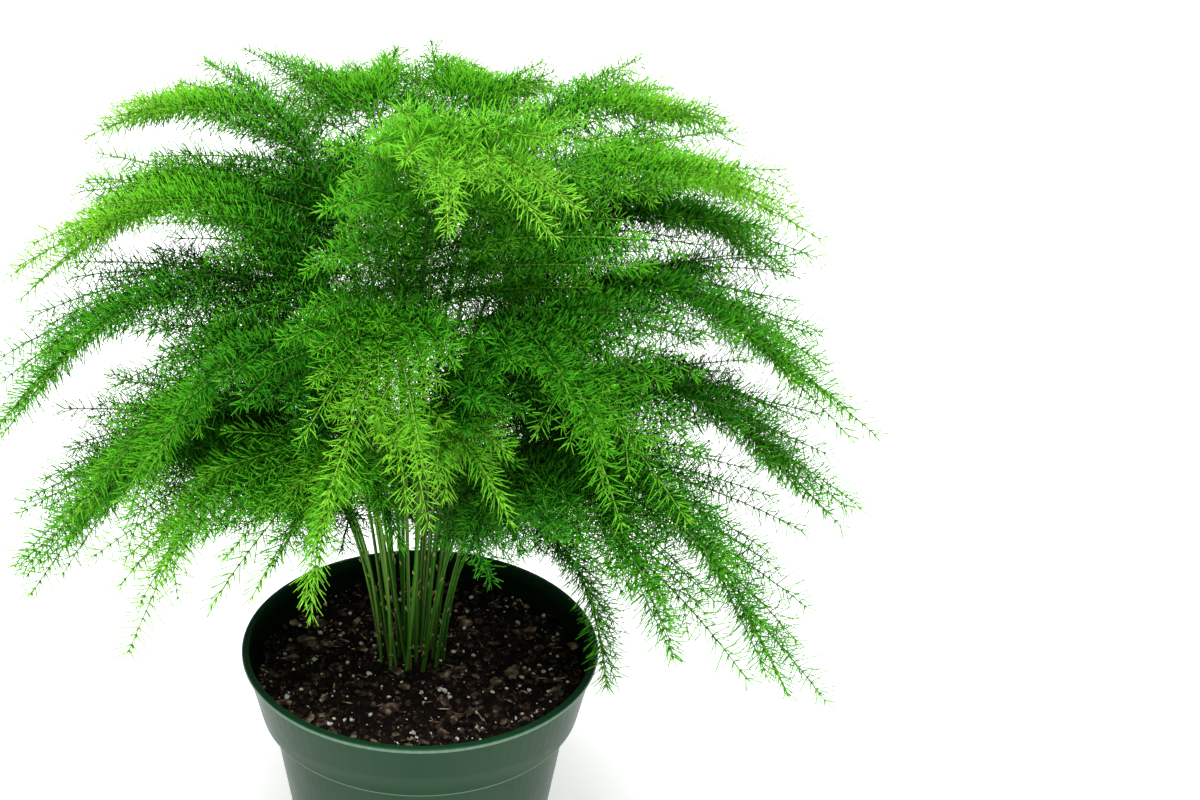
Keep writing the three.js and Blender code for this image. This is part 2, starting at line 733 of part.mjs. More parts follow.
/** One square socket for each square stem, wider by the clearance all round. */
function socketPins(fronds) {
  const radius = STEM.radius + SOCKET.clearance * Math.SQRT2;
  const bottom = SOIL.surface - SOCKET.depth - SOCKET.clearance;
  return fronds.map(({ root, azimuth }) => uprightPin(root, radius, 4,
    radians(azimuth + 45), bottom, SOIL.surface + 10));
}

// ------------------------------------------------------------------ the part

function meshOf(name, geometry, settings) {
  const mesh = new THREE.Mesh(geometry, new THREE.MeshStandardMaterial(settings));
  mesh.name = name;
  return mesh;
}

/** All fronds, tier by tier, with stems planned first and then the branches. */
function buildFronds() {
  const thicket = new Thicket();
  const fronds = TIERS.flatMap((tier) => tier.fronds.map((frond, rank) => ({ frond, tier, rank })))
    .map(({ frond, tier, rank }, index) => layOut(frond, index, tier, rank));
  for (const frond of fronds) thicket.add(stemSegments(frond));
  const plans = fronds.map((frond) => planFrond(frond, thicket));
  const meshes = fronds.map((frond, i) => meshOf(`frond_${frond.name}`,
    growFrond(frond, plans[i], thicket),
    { color: TONES[frond.tone], roughness: 0.6, metalness: 0 }));
  return { fronds, meshes };
}

const plant = new THREE.Group();
const { fronds, meshes } = buildFronds();
plant.add(meshOf('pot', drilled(potGeometry(), drainPins()),
  { color: 0x2f5a46, roughness: 0.38, metalness: 0 }));
plant.add(meshOf('soil', drilled(soilGeometry(), socketPins(fronds)),
  { color: 0x2a1d15, roughness: 0.95, metalness: 0 }));
plant.add(...meshes);

export default plant;
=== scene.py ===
"""A foxtail fern in its nursery pot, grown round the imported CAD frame.

Every frond stands where its CAD node stands and keeps that node's arch. The
scene adds the fine growth: all side branches, their twigs, whorls of needles
and the scale leaves of the bare stems. Sizes are in millimetres until a mesh
is made, and meshes are in metres.
"""

import logging
import math
from dataclasses import dataclass, field
from enum import Enum

import bmesh
import bpy
import numpy as np
from mathutils import Matrix, Vector, noise


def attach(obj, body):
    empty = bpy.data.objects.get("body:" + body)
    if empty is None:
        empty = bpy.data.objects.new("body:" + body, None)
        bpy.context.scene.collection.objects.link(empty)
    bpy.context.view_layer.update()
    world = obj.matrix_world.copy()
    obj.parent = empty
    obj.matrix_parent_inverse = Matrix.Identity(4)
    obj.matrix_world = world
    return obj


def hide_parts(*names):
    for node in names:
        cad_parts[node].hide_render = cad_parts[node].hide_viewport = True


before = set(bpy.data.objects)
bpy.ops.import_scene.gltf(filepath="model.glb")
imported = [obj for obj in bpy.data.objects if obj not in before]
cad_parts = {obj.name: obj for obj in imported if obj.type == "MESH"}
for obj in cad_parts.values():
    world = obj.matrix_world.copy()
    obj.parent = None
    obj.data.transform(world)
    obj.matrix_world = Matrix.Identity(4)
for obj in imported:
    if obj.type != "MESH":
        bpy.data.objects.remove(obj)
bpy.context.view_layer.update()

BODY = "root"
MM = 0.001
SEED = 7
UP = np.array([0.0, 0.0, 1.0])
NEARLY_UP = UP + 0.01
FULL_TURN = 2 * math.pi
PALETTE = "OFBake"
RGBA = {"data_type": "RGBA"}
SMOOTH = {"interpolation_type": "SMOOTHSTEP"}
LOG = logging.getLogger("foxtail_fern")

Array = np.ndarray
BMesh = bmesh.types.BMesh
Material = bpy.types.Material
Node = bpy.types.Node
Piece = bpy.types.Object
Socket = bpy.types.NodeSocket
Tree = bpy.types.NodeTree


# ------------------------------------------------------------------ materials


def linear(colour: int) -> tuple[float, float, float, float]:
    """Turn an sRGB hex colour into the linear RGBA that a shader takes.

    Args:
        colour: The colour as 0xRRGGBB.

    Returns:
        Linear red, green, blue and full alpha.
    """
    parts = [((colour >> shift) & 255) / 255 for shift in (16, 8, 0)]
    low = [c / 12.92 if c <= 0.04045 else ((c + 0.055) / 1.055) ** 2.4 for c in parts]
    return (*low, 1.0)


def add_node(
    tree: Tree, kind: str, settings: dict | None = None, inputs: dict | None = None, stops: tuple = ()
) -> Node:
    """Add a shader node with its settings, its inputs and its ramp's colours.

    Args:
        tree: The material's node tree.
        kind: The node's type, without the word ShaderNode before it.
        settings: Attributes to set on the node.
        inputs: Input name or index to a value, to an output socket, or to a
            node, whose first live output is taken.
        stops: On a ramp, pairs of position and sRGB hex colour that rise.

    Returns:
        The new node.
    """
    node = tree.nodes.new(f"ShaderNode{kind}")
    for name, value in (settings or {}).items():
        setattr(node, name, value)
    for name, value in (inputs or {}).items():
        if isinstance(value, Node):
            value = next(output for output in value.outputs if output.enabled)
        if isinstance(value, Socket):
            tree.links.new(value, node.inputs[name])
        else:
            node.inputs[name].default_value = value
    for index, (position, colour) in enumerate(stops):
        elements = node.color_ramp.elements
        element = elements[index] if index < len(elements) else elements.new(position)
        element.position, element.color = position, linear(colour)
    return node


def new_material(name: str) -> tuple[Material, Tree]:
    """Start a node material with an empty tree.

    Args:
        name: The material's name.

    Returns:
        The material and its tree.
    """
    material = bpy.data.materials.new(name)
    material.use_nodes = True
    material.node_tree.nodes.clear()
    return material, material.node_tree


def finish_material(tree: Tree, inputs: dict) -> None:
    """Close a tree with its surface shader and its output.

    Args:
        tree: The material's node tree.
        inputs: Inputs of the surface shader.
    """
    shader = add_node(tree, "BsdfPrincipled", inputs=inputs)
    add_node(tree, "OutputMaterial", inputs={"Surface": shader})


class Tissue(Enum):
    """Columns of the foliage's palette map: start and width across u."""

    NEEDLE = (0.02, 0.56)
    SHOOT = (0.64, 0.14)
    SCALE = (0.84, 0.12)


@dataclass(frozen=True)
class Foliage:
    """Living cladode tissue under a thin wax, which gives it a soft satin gloss.

    Young growth is yellow-green and old growth deep green. Each needle pales
    towards its tip, and pale ribs run along the shoots.
    """

    name: str
    needle: tuple
    shoot: tuple
    scale: tuple = ((0.0, 0x8F8A4A), (1.0, 0xC9C47A))
    rib: int = 0x9CB45C
    ribs: int = 2
    rib_start: float = 0.2
    rib_share: float = 0.5
    tip: int = 0x74C62A
    tip_start: float = 0.35
    tip_share: float = 0.22
    column_gap: float = 0.02
    roughness: float = 0.6
    refraction: float = 1.42
    gloss: float = 0.08

    def material(self) -> Material:
        """Build the material, which reads the piece's palette map alone.

        Returns:
            The material.
        """
        material, tree = new_material(self.name)
        palette = add_node(tree, "UVMap", {"uv_map": PALETTE})
        across, age, _ = add_node(tree, "SeparateXYZ", inputs={"Vector": palette}).outputs
        needle, shoot, scale = (
            add_node(tree, "ValToRGB", inputs={"Fac": age}, stops=stops)
            for stops in (self.needle, self.shoot, self.scale)
        )
        start, width = Tissue.NEEDLE.value
        span = {"From Min": start + self.tip_start * width, "From Max": start + width}
        end = {"Value": across, "To Max": self.tip_share, **span}
        near_tip = add_node(tree, "MapRange", SMOOTH, end)
        tipped = {"Factor": near_tip, "A": needle, "B": linear(self.tip)}
        colour = add_node(tree, "Mix", RGBA, tipped)
        start, width = Tissue.SHOOT.value
        span = {"From Min": start, "From Max": start + width, "To Max": FULL_TURN * self.ribs}
        turn = add_node(tree, "MapRange", inputs={"Value": across, **span})
        wave = add_node(tree, "Math", {"operation": "SINE"}, {0: turn})
        crest = {"From Min": self.rib_start, "From Max": 1.0, "To Max": self.rib_share}
        on_rib = add_node(tree, "MapRange", SMOOTH, {"Value": wave, **crest})
        ribbed = {"Factor": on_rib, "A": shoot, "B": linear(self.rib)}
        shoot = add_node(tree, "Mix", RGBA, ribbed)
        for column, tint in ((Tissue.SHOOT, shoot), (Tissue.SCALE, scale)):
            sides = {0: across, 1: column.value[0] - self.column_gap}
            inside = add_node(tree, "Math", {"operation": "GREATER_THAN"}, sides)
            colour = add_node(tree, "Mix", RGBA, {"Factor": inside, "A": colour, "B": tint})
        surface = {"Base Color": colour, "Roughness": self.roughness}
        surface |= {"IOR": self.refraction, "Specular IOR Level": self.gloss}
        finish_material(tree, surface)
        return material


# Grown cladodes: deep green with a satin wax.
GROWN = Foliage(
    "asparagus_cladode_grown",
    needle=((0.0, 0x074A07), (0.3, 0x1E7E0D), (0.6, 0x54B61A), (1.0, 0x90DE34)),
    shoot=((0.0, 0x1A5010), (0.5, 0x3C8A18), (1.0, 0x7CC430)),
)
# Young cladodes of this season: yellow-green and softer.
YOUNG = Foliage(
    "asparagus_cladode_young",
    needle=((0.0, 0x0C5209), (0.3, 0x2A8E0E), (0.6, 0x58BE1E), (1.0, 0x90E03A)),
    shoot=((0.0, 0x205E10), (0.3, 0x429018), (0.6, 0x68B824), (1.0, 0x96CC3C)),
    tip=0x88D62E,
)


@dataclass(frozen=True)
class MouldedPlastic:
    """Injection-moulded polypropylene: an even satin with faint flow marks.

    It has a painted highlight, a pale line on the lip's outer edge and the
    collar's foot, and painted shade, a dark band on the inner wall between the
    soil and the lip. A band is its middle height, how far it goes up and down
    from there, and over what width it fades.
    """

    name: str = "polypropylene_injection_moulded"
    base: int = 0x11361D
    pale: int = 0x143B21
    # Painted highlight: a pale line on the lip's outer edge and on the collar's foot.
    painted_highlight: int = 0xA4C8B2
    lip_edge_mm: float = 82.05
    lip_fade_mm: float = 0.4
    lip_highlight: float = 0.42
    foot_band_mm: tuple = (115.5, 0.7, 0.4)
    foot_highlight: float = 0.22
    # Painted shade: a dark band on the inner wall between the soil and the lip.
    painted_shade: int = 0x0B100A
    painted_shade_share: float = 0.75
    painted_shade_band_mm: tuple = (131.0, 12.5, 4.0)
    wall_middle_mm: float = 80.4
    wall_fade_mm: float = 0.2
    wall_slope: float = 0.212
    lip_height_mm: float = 146.0
    roughness: tuple = (0.25, 0.37)
    refraction: float = 1.49
    gloss: float = 0.06
    flow_mm: float = 9.0
    grain_mm: float = 0.5
    relief_mm: float = 0.03
    relief: float = 0.03

    def material(self) -> Material:
        """Build the material from object coordinates.

        Returns:
            The material.
        """
        material, tree = new_material(self.name)
        place = add_node(tree, "TexCoord").outputs["Object"]
        flow, grain = (
            add_node(
                tree, "TexNoise", inputs={"Vector": place, "Scale": 1 / (size * MM), "Detail": detail}
            )
            for size, detail in ((self.flow_mm, 3.0), (self.grain_mm, 2.0))
        )
        colour = add_node(
            tree, "ValToRGB", inputs={"Fac": flow}, stops=((0.3, self.base), (0.7, self.pale))
        )
        x, y, level = add_node(tree, "SeparateXYZ", inputs={"Vector": place}).outputs
        flat = add_node(tree, "CombineXYZ", inputs={"X": x, "Y": y})
        radius = add_node(tree, "VectorMath", {"operation": "LENGTH"}, {0: flat})
        # Masks of the painted highlights on the lip's outer edge and the collar's foot.
        lip = {
            "From Min": self.lip_edge_mm * MM,
            "From Max": (self.lip_edge_mm + self.lip_fade_mm) * MM,
            "To Max": self.lip_highlight,
        }
        foot = {0: self.band_mask(tree, level, *self.foot_band_mm), 1: self.foot_highlight}
        # Over the flow marks: painted shade on the inner wall, then the painted highlights.
        layers = (
            (self.painted_shade_mask(tree, radius, level), self.painted_shade),
            (add_node(tree, "MapRange", inputs={"Value": radius, **lip}), self.painted_highlight),
            (add_node(tree, "Math", {"operation": "MULTIPLY"}, foot), self.painted_highlight),
        )
        for share, tint in layers:
            layer = {"Factor": share, "A": colour, "B": linear(tint)}
            colour = add_node(tree, "Mix", RGBA, layer)
        smooth, rough = self.roughness
        shine = {"Value": flow, "To Min": smooth, "To Max": rough}
        bump = {"Height": grain, "Strength": self.relief, "Distance": self.relief_mm * MM}
        surface = {"Base Color": colour, "Roughness": add_node(tree, "MapRange", inputs=shine)}
        surface |= {"IOR": self.refraction, "Specular IOR Level": self.gloss}
        finish_material(tree, {**surface, "Normal": add_node(tree, "Bump", inputs=bump)})
        return material

    def painted_shade_mask(self, tree: Tree, radius: Node, level: Socket) -> Node:
        """Mask the painted shade on the inner wall over the soil, fading out below the lip.

        Args:
            tree: The material's node tree.
            radius: Distance from the pot's axis.
            level: Height over the pot's foot.

        Returns:
            The node that gives the stain's share.
        """
        below = {0: level, 1: self.lip_height_mm * MM}
        height = add_node(tree, "Math", {"operation": "SUBTRACT"}, below)
        lean = {0: height, 1: -self.wall_slope, 2: radius}
        upright = add_node(tree, "Math", {"operation": "MULTIPLY_ADD"}, lean)
        span = {
            "From Min": self.wall_middle_mm * MM,
            "From Max": (self.wall_middle_mm - self.wall_fade_mm) * MM,
            "To Max": self.painted_shade_share,
        }
        inside = add_node(tree, "MapRange", inputs={"Value": upright, **span})
        near = self.band_mask(tree, level, *self.painted_shade_band_mm)
        return add_node(tree, "Math", {"operation": "MULTIPLY"}, {0: inside, 1: near})

    @staticmethod
    def band_mask(tree: Tree, level: Socket, middle: float, reach: float, fade: float) -> Node:
        """One inside a band of heights, fading to nothing at its edges.

        Args:
            tree: The material's node tree.
            level: Height over the pot's foot.
            middle: The band's middle in millimetres.
            reach: How far it goes up and down from there.
            fade: Over what width it fades.

        Returns:
            The mask's node.
        """
        offset = add_node(tree, "Math", {"operation": "SUBTRACT"}, {0: level, 1: middle * MM})
        away = add_node(tree, "Math", {"operation": "ABSOLUTE"}, {0: offset})
        span = {"From Min": reach * MM, "From Max": (reach - fade) * MM}
        return add_node(tree, "MapRange", inputs={"Value": away, **span})


@dataclass(frozen=True)
class Crumbly:
    """A matt granular stuff: peat, bark or expanded perlite."""

    name: str
    stops: tuple
    patch_mm: float
    grain_mm: float
    relief_mm: float
    relief: float = 0.6
    roughness: float = 0.9
    gloss: float = 0.12

    def material(self) -> Material:
        """Build the material from object coordinates.

        Returns:
            The material.
        """
        material, tree = new_material(self.name)
        place = add_node(tree, "TexCoord").outputs["Object"]
        patches, grain = (
            add_node(
                tree, "TexNoise", inputs={"Vector": place, "Scale": 1 / (size * MM), "Detail": detail}
            )
            for size, detail in ((self.patch_mm, 4.0), (self.grain_mm, 3.0))
        )
        colour = add_node(tree, "ValToRGB", inputs={"Fac": patches}, stops=self.stops)
        bump = {"Height": grain, "Strength": self.relief, "Distance": self.relief_mm * MM}
        surface = {"Base Color": colour, "Roughness": self.roughness}
        surface |= {"Specular IOR Level": self.gloss, "Normal": add_node(tree, "Bump", inputs=bump)}
        finish_material(tree, surface)
        return material


# Damp peat mix: nearly black, matt, with brown patches.
PEAT = Crumbly(
    "peat_potting_mix_damp",
    ((0.3, 0x060403), (0.52, 0x120B08), (0.66, 0x22160F), (0.8, 0x3A281C)),
    patch_mm=5.0, grain_mm=0.8, relief_mm=0.5,
)
# Crumbs of the same mix, each a shade of its own.
CRUMBS = Crumbly(
    "peat_crumbs_damp",
    ((0.34, 0x080605), (0.5, 0x1E1612), (0.62, 0x46372D), (0.76, 0x786456)),
    patch_mm=3.2, grain_mm=0.7, relief_mm=0.3,
)
# Expanded perlite: chalky white foam, dusty with peat.
PERLITE = Crumbly(
    "perlite_expanded",
    ((0.3, 0x9A9484), (0.5, 0xD8D5CB), (0.7, 0xF0EEE8)),
    patch_mm=1.6, grain_mm=0.3, relief_mm=0.1, roughness=0.8,
)
# Coir and bark fibres: dry, straw-coloured threads.
FIBRE = Crumbly(
    "coir_fibre_dry",
    ((0.34, 0x33241A), (0.5, 0x7C664E), (0.68, 0xC8B494)),
    patch_mm=2.4, grain_mm=0.3, relief_mm=0.1,
)
# Composted pine bark: brown to tan flakes with a fibrous face.
BARK = Crumbly(
    "pine_bark_composted",
    ((0.34, 0x1E1612), (0.48, 0x43342B), (0.58, 0x75604F), (0.72, 0xB8A288)),
    patch_mm=4.5, grain_mm=0.6, relief_mm=0.2, roughness=0.82,
)


# --------------------------------------------------------------------- meshes


# Vertices closer than this, in millimetres, are one.
WELD = 1e-4
# A tube's vertices shift on the palette map by a sine round it: its height, its radians, its start.
TUBE_SINE = (0.012, 7.0, 1.0)
# Places there of a sliver's four vertices, and the share of its column that runs round a spike.
SLIVER_PALETTE = ((0.0, -0.012), (0.3, 0.012), (0.6, 0.01), (0.9, -0.01))
SPIKE_TURN = 0.1
# The oldest and the youngest row of the map.
AGES = (0.02, 0.98)


def arrays_of(bm: BMesh) -> tuple[Array, Array]:
    """Turn a bmesh of triangles into arrays.

    Args:
        bm: The shape, which is freed.

    Returns:
        Its vertices' places, and the three vertices of each face.
    """
    bm.verts.index_update()
    points = np.array([v.co for v in bm.verts])
    faces = np.array([[v.index for v in f.verts] for f in bm.faces])
    bm.free()
    return points, faces


def link_piece(mesh: bpy.types.Mesh, material: Material) -> Piece:
    """Dress a mesh and link it to the scene as an object of the same name.

    Args:
        mesh: The mesh, in metres, in its place.
        material: Its finish.

    Returns:
        The object, at the origin.
    """
    mesh.materials.append(material)
    piece = bpy.data.objects.new(mesh.name, mesh)
    bpy.context.scene.collection.objects.link(piece)
    return piece


def object_of(bm: BMesh, name: str, material: Material) -> Piece:
    """Turn a bmesh in millimetres into an object in metres.

    Args:
        bm: The shape, which is freed.
        name: The piece's name.
        material: Its finish.

    Returns:
        The object, at the origin.
    """
    bmesh.ops.scale(bm, verts=bm.verts, vec=(MM, MM, MM))
    mesh = bpy.data.meshes.new(name)
    bm.to_mesh(mesh)
    bm.free()
    return link_piece(mesh, material)


@dataclass
class Stamp:
    """A small closed shape along +Z, kept as arrays so that it can be repeated.

    Its vertices are a place round the axis (across) and a share of the way
    along it (share); `palette` shifts each vertex on the palette map so that
    no face is flat there.
    """

    across: Array
    share: Array
    faces: Array
    palette: Array

    @classmethod
    def tube(cls, sides: int, rings: int) -> "Stamp":
        """Make a closed tube.

        Args:
            sides: How many sides it has.
            rings: How many lengths it has end to end.

        Returns:
            The shape, one unit long and one unit in radius.
        """
        bm = bmesh.new()
        bmesh.ops.create_cone(
            bm, cap_ends=True, cap_tris=False, segments=sides, radius1=1.0, radius2=1.0, depth=1.0
        )
        long_edges = [e for e in bm.edges if abs(e.verts[0].co.z - e.verts[1].co.z) > 0.5]
        bmesh.ops.subdivide_edges(bm, edges=long_edges, cuts=rings - 1, use_grid_fill=True)
        bmesh.ops.triangulate(bm, faces=bm.faces)
        points, faces = arrays_of(bm)
        turn = np.arctan2(points[:, 1], points[:, 0]) / FULL_TURN + 0.5
        height, radians, start = TUBE_SINE
        palette = np.stack([turn, height * np.sin(radians * turn + start)], axis=1)
        return cls(points[:, :2], points[:, 2] + 0.5, faces, palette)

    @classmethod
    def sliver(cls, tip: float) -> "Stamp":
        """Make a needle of four faces that stays visible out to its tip.

        Its foot and its tip are short edges that stand across each other.

        Args:
            tip: Length of the tip's edge as a share of the foot's.

        Returns:
            The shape, one unit long, with a foot two units wide.
        """
        bm = bmesh.new()
        bmesh.ops.create_cone(bm, cap_ends=True, segments=3, radius1=1.0, radius2=0.0, depth=1.0)
        places = ((1, 0, 0), (-1, 0, 0), (0, tip, 1), (0, -tip, 1))
        for vert, place in zip(bm.verts, places):
            vert.co = place
        bmesh.ops.recalc_face_normals(bm, faces=bm.faces)
        points, faces = arrays_of(bm)
        return cls(points[:, :2], points[:, 2], faces, np.array(SLIVER_PALETTE))


def unit(vectors: Array) -> Array:
    """Vectors scaled to length 1."""
    return vectors / np.maximum(np.linalg.norm(vectors, axis=-1, keepdims=True), 1e-9)


def spokes(along: Array, hint: Array, turn: Array) -> Array:
    """Directions square to a path.

    Args:
        along: The path's direction at each.
        hint: A direction that is never along the path.
        turn: The angle of each round the path, in radians.

    Returns:
        One vector of length 1 for each.
    """
    x = unit(np.cross(along, hint))
    y = np.cross(along, x)
    return x * np.cos(turn)[:, None] + y * np.sin(turn)[:, None]


def ranked(numbers: Array) -> tuple[Array, Array]:
    """List things that stand in a row on each of several owners.

    Args:
        numbers: How many stand on each owner.

    Returns:
        The owner of each thing, and its rank there from 0.
    """
    which = np.repeat(np.arange(len(numbers)), numbers)
    firsts = np.cumsum(numbers) - numbers
    return which, np.arange(len(which)) - firsts[which]


@dataclass
class Growth:
    """Collects stamped shapes and turns them into one mesh."""

    points: list = field(default_factory=list)
    faces: list = field(default_factory=list)
    maps: list = field(default_factory=list)
    count: int = 0

    def add(
        self, stamp: Stamp, centre: Array, along: Array, radius: Array, tissue: Tissue, age: Array,
        hint: Array = UP,
    ) -> None:
        """Set the stamp down many times, bent along each of its own paths.

        Args:
            stamp: The shape.
            centre: Its path, copies by vertices by 3, in millimetres.
            along: The path's direction, for each vertex or for a whole copy.
            radius: The radius, likewise.
            tissue: The palette column that the copies use.
            age: The palette row, 0 old to 1 young, likewise.
            hint: A direction that is never along the path.
        """
        x = unit(np.cross(along, hint))
        y = np.cross(along, x)
        ring = x * stamp.across[None, :, :1] + y * stamp.across[None, :, 1:]
        points = centre + ring * np.asarray(radius)[..., None]
        copies, size = points.shape[0], points.shape[1]
        offsets = self.count + size * np.arange(copies)
        faces = stamp.faces[None] + offsets[:, None, None]
        turn, shift = stamp.palette.T
        start, width = tissue.value
        spike = SPIKE_TURN * turn + (1 - SPIKE_TURN) * stamp.share
        across = turn if tissue is Tissue.SHOOT else spike
        u = np.broadcast_to(start + width * across, (copies, size))
        v = np.broadcast_to(np.clip(age, *AGES) + shift, (copies, size))
        self.points.append(points.reshape(-1, 3))
        self.faces.append(faces.reshape(-1, 3))
        self.maps.append(np.stack([u, v], axis=-1).reshape(-1, 2))
        self.count += copies * size

    def object(self, name: str, material: Material) -> Piece:
        """Make the collected shapes one object.

        Args:
            name: The piece's name.
            material: Its finish.

        Returns:
            The object, at the origin, with its place in its mesh.
        """
        points = np.concatenate(self.points) * MM
        faces = np.concatenate(self.faces)
        maps = np.concatenate(self.maps)
        mesh = bpy.data.meshes.new(name)
        mesh.vertices.add(len(points))
        mesh.vertices.foreach_set("co", points.astype(np.float32).ravel())
        mesh.loops.add(faces.size)
        mesh.loops.foreach_set("vertex_index", faces.astype(np.int32).ravel())
        mesh.polygons.add(len(faces))
        mesh.polygons.foreach_set("loop_start", np.arange(0, faces.size, 3, dtype=np.int32))
        mesh.polygons.foreach_set("use_smooth", np.ones(len(faces), dtype=bool))
        layer = mesh.uv_layers.new(name=PALETTE)
        layer.data.foreach_set("uv", maps[faces.ravel()].astype(np.float32).ravel())
        mesh.update(calc_edges=True)
        mesh.validate()
        return link_piece(mesh, material)


# ------------------------------------------------------------------ the fronds


def draw(a: int, b: int, c: int) -> float:
    """A repeatable number from -1 to 1 for three whole numbers, as in the CAD."""
    value = math.sin(a * 12.9898 + b * 78.233 + c * 37.719 + SEED) * 43758.5453
    return 2 * (value - math.floor(value)) - 1


class Tone(Enum):
    """Age at a frond's foot, how much younger its tip is, and its slot. One tone darkens the lower skirt
    fronds, partly as painted shade.
    """

    # Darker lower skirt fronds: partly older growth, partly painted shade under the crown.
    OLD_AND_SHADED = (0.02, 0.4, "green_foliage")
    MID = (0.02, 0.52, "green_foliage")
    TIPPED = (0.04, 0.9, "green_foliage")
    LIME = (0.1, 0.6, "lime_foliage")
    FRESH = (0.2, 0.65, "lime_foliage")


# Needles are longer on the older fronds lower down. The crown is youngest, and its lighter green is partly
# a painted highlight where light falls on top.
NEEDLE_LENGTH = {"crown": 8.4, "side": 9.2, "skirt": 10.0}
TIER_YOUTH_AND_TOP_LIGHT = {"crown": 0.16, "side": 0.0, "skirt": 0.0}


@dataclass(frozen=True)
class Arch:
    """One frond's line: heading, arch, sway, start of the blade, widest reach.

    The arch's control points are a distance from the clump's axis and a height
    over the soil.
    """

    name: str
    azimuth: float
    points: tuple
    sway: float
    blade: float
    spread: float
    tone: Tone = Tone.MID

    @property
    def tier(self) -> str:
        """The tier it belongs to, the first word of its name."""
        return self.name.split("_")[0]

    @property
    def youth(self) -> float:
        """Age of its needles on the palette map, raised in the crown partly as a painted highlight on top.
        """
        return self.tone.value[0] + TIER_YOUTH_AND_TOP_LIGHT[self.tier]


CROWN = (
    Arch("crown_right_back", 26, ((14, 110), (20, 266), (58, 276), (128, 246)), -6, 0.36, 64, Tone.TIPPED),
    Arch("crown_back_right", 66, ((14, 110), (20, 266), (50, 279), (112, 236)), 6, 0.34, 72, Tone.TIPPED),
    Arch("crown_back", 104, ((10, 110), (16, 268), (46, 280), (106, 236)), 6, 0.34, 78, Tone.TIPPED),
    Arch("crown_left_back", 152, ((14, 110), (20, 264), (58, 276), (128, 246)), 6, 0.36, 66, Tone.TIPPED),
    Arch("crown_left", 186, ((16, 100), (26, 242), (62, 254), (142, 208)), -6, 0.36, 66, Tone.TIPPED),
    Arch("crown_front", 284, ((10, 110), (13, 260), (36, 278), (66, 266)), 3, 0.4, 82, Tone.LIME),
    Arch("crown_right", 356, ((16, 105), (26, 252), (64, 264), (134, 230)), 6, 0.36, 72, Tone.TIPPED),
)
SIDE = (
    Arch("side_right_back", 12, ((18, 90), (28, 225), (82, 240), (150, 196)), -6, 0.36, 72),
    Arch("side_back_right", 66, ((18, 90), (26, 225), (76, 245), (134, 156)), -6, 0.36, 66),
    Arch("side_back_left", 114, ((18, 90), (26, 230), (76, 250), (134, 160)), 6, 0.36, 66),
    Arch("side_left_back", 160, ((18, 95), (26, 232), (72, 246), (132, 204)), 6, 0.36, 62),
    Arch("side_left", 190, ((19, 90), (28, 222), (84, 238), (166, 148)), 8, 0.36, 64),
    Arch("side_left_front", 220, ((19, 80), (28, 195), (74, 222), (130, 140)), -8, 0.36, 64),
    Arch("side_front", 262, ((14, 80), (20, 210), (56, 232), (90, 168)), 3, 0.38, 64, Tone.TIPPED),
    Arch("side_front_right", 306, ((18, 80), (28, 205), (72, 228), (118, 160)), 6, 0.36, 64),
    Arch("side_right", 350, ((19, 90), (30, 215), (88, 230), (164, 154)), 6, 0.36, 76),
)
# Skirt fronds at the back and sides take the darker tone, which is partly painted shade.
SKIRT = (
    Arch("skirt_right_back", 48, ((21, 60), (33, 138), (92, 172), (132, 20)), 6, 0.27, 76, Tone.OLD_AND_SHADED),
    Arch("skirt_back", 78, ((20, 48), (30, 84), (70, 98), (98, -4)), 2, 0.3, 84, Tone.OLD_AND_SHADED),
    Arch("skirt_left_back", 132, ((21, 60), (33, 138), (92, 172), (130, 20)), -6, 0.27, 76, Tone.OLD_AND_SHADED),
    Arch("skirt_left", 178, ((21, 62), (33, 138), (86, 156), (138, 78)), 6, 0.34, 68, Tone.OLD_AND_SHADED),
    Arch("skirt_left_front", 200, ((21, 60), (32, 142), (90, 174), (150, 92)), -6, 0.34, 72),
    Arch("skirt_front_left", 218, ((20, 58), (30, 134), (82, 168), (132, 98)), 5, 0.36, 64, Tone.TIPPED),
    Arch("skirt_front", 240, ((19, 55), (26, 130), (64, 176), (88, 108)), 4, 0.4, 62, Tone.FRESH),
    Arch("skirt_front_mid", 280, ((18, 55), (23, 134), (52, 178), (72, 142)), 4, 0.42, 50, Tone.FRESH),
    Arch("skirt_front_right", 314, ((20, 58), (30, 132), (86, 168), (142, 84)), 6, 0.36, 66, Tone.OLD_AND_SHADED),
    Arch("skirt_right_front", 336, ((21, 62), (33, 146), (98, 178), (176, 34)), -6, 0.34, 68, Tone.OLD_AND_SHADED),
    Arch("skirt_right_whip", 331, ((21, 62), (30, 100), (84, 122), (97, 14)), 4, 0.52, 20, Tone.OLD_AND_SHADED),
    Arch("skirt_right", 356, ((21, 62), (33, 154), (98, 190), (172, 92)), 6, 0.34, 76, Tone.OLD_AND_SHADED),
)
# Stems of a tier stand evenly round one ring of the clump: its radius, and the first one's heading.
TIERS = ((CROWN, 5.6, 36.0), (SIDE, 10.4, 26.0), (SKIRT, 15.0, 50.0))
# What a side branch tries by turns until it clears the pot: share of its length, and lift.
BRANCH_TRIES = ((1, 0), (1, 0.2), (0.85, 0.35), (0.7, 0.35), (0.5, 0.4), (0.3, 0.4))


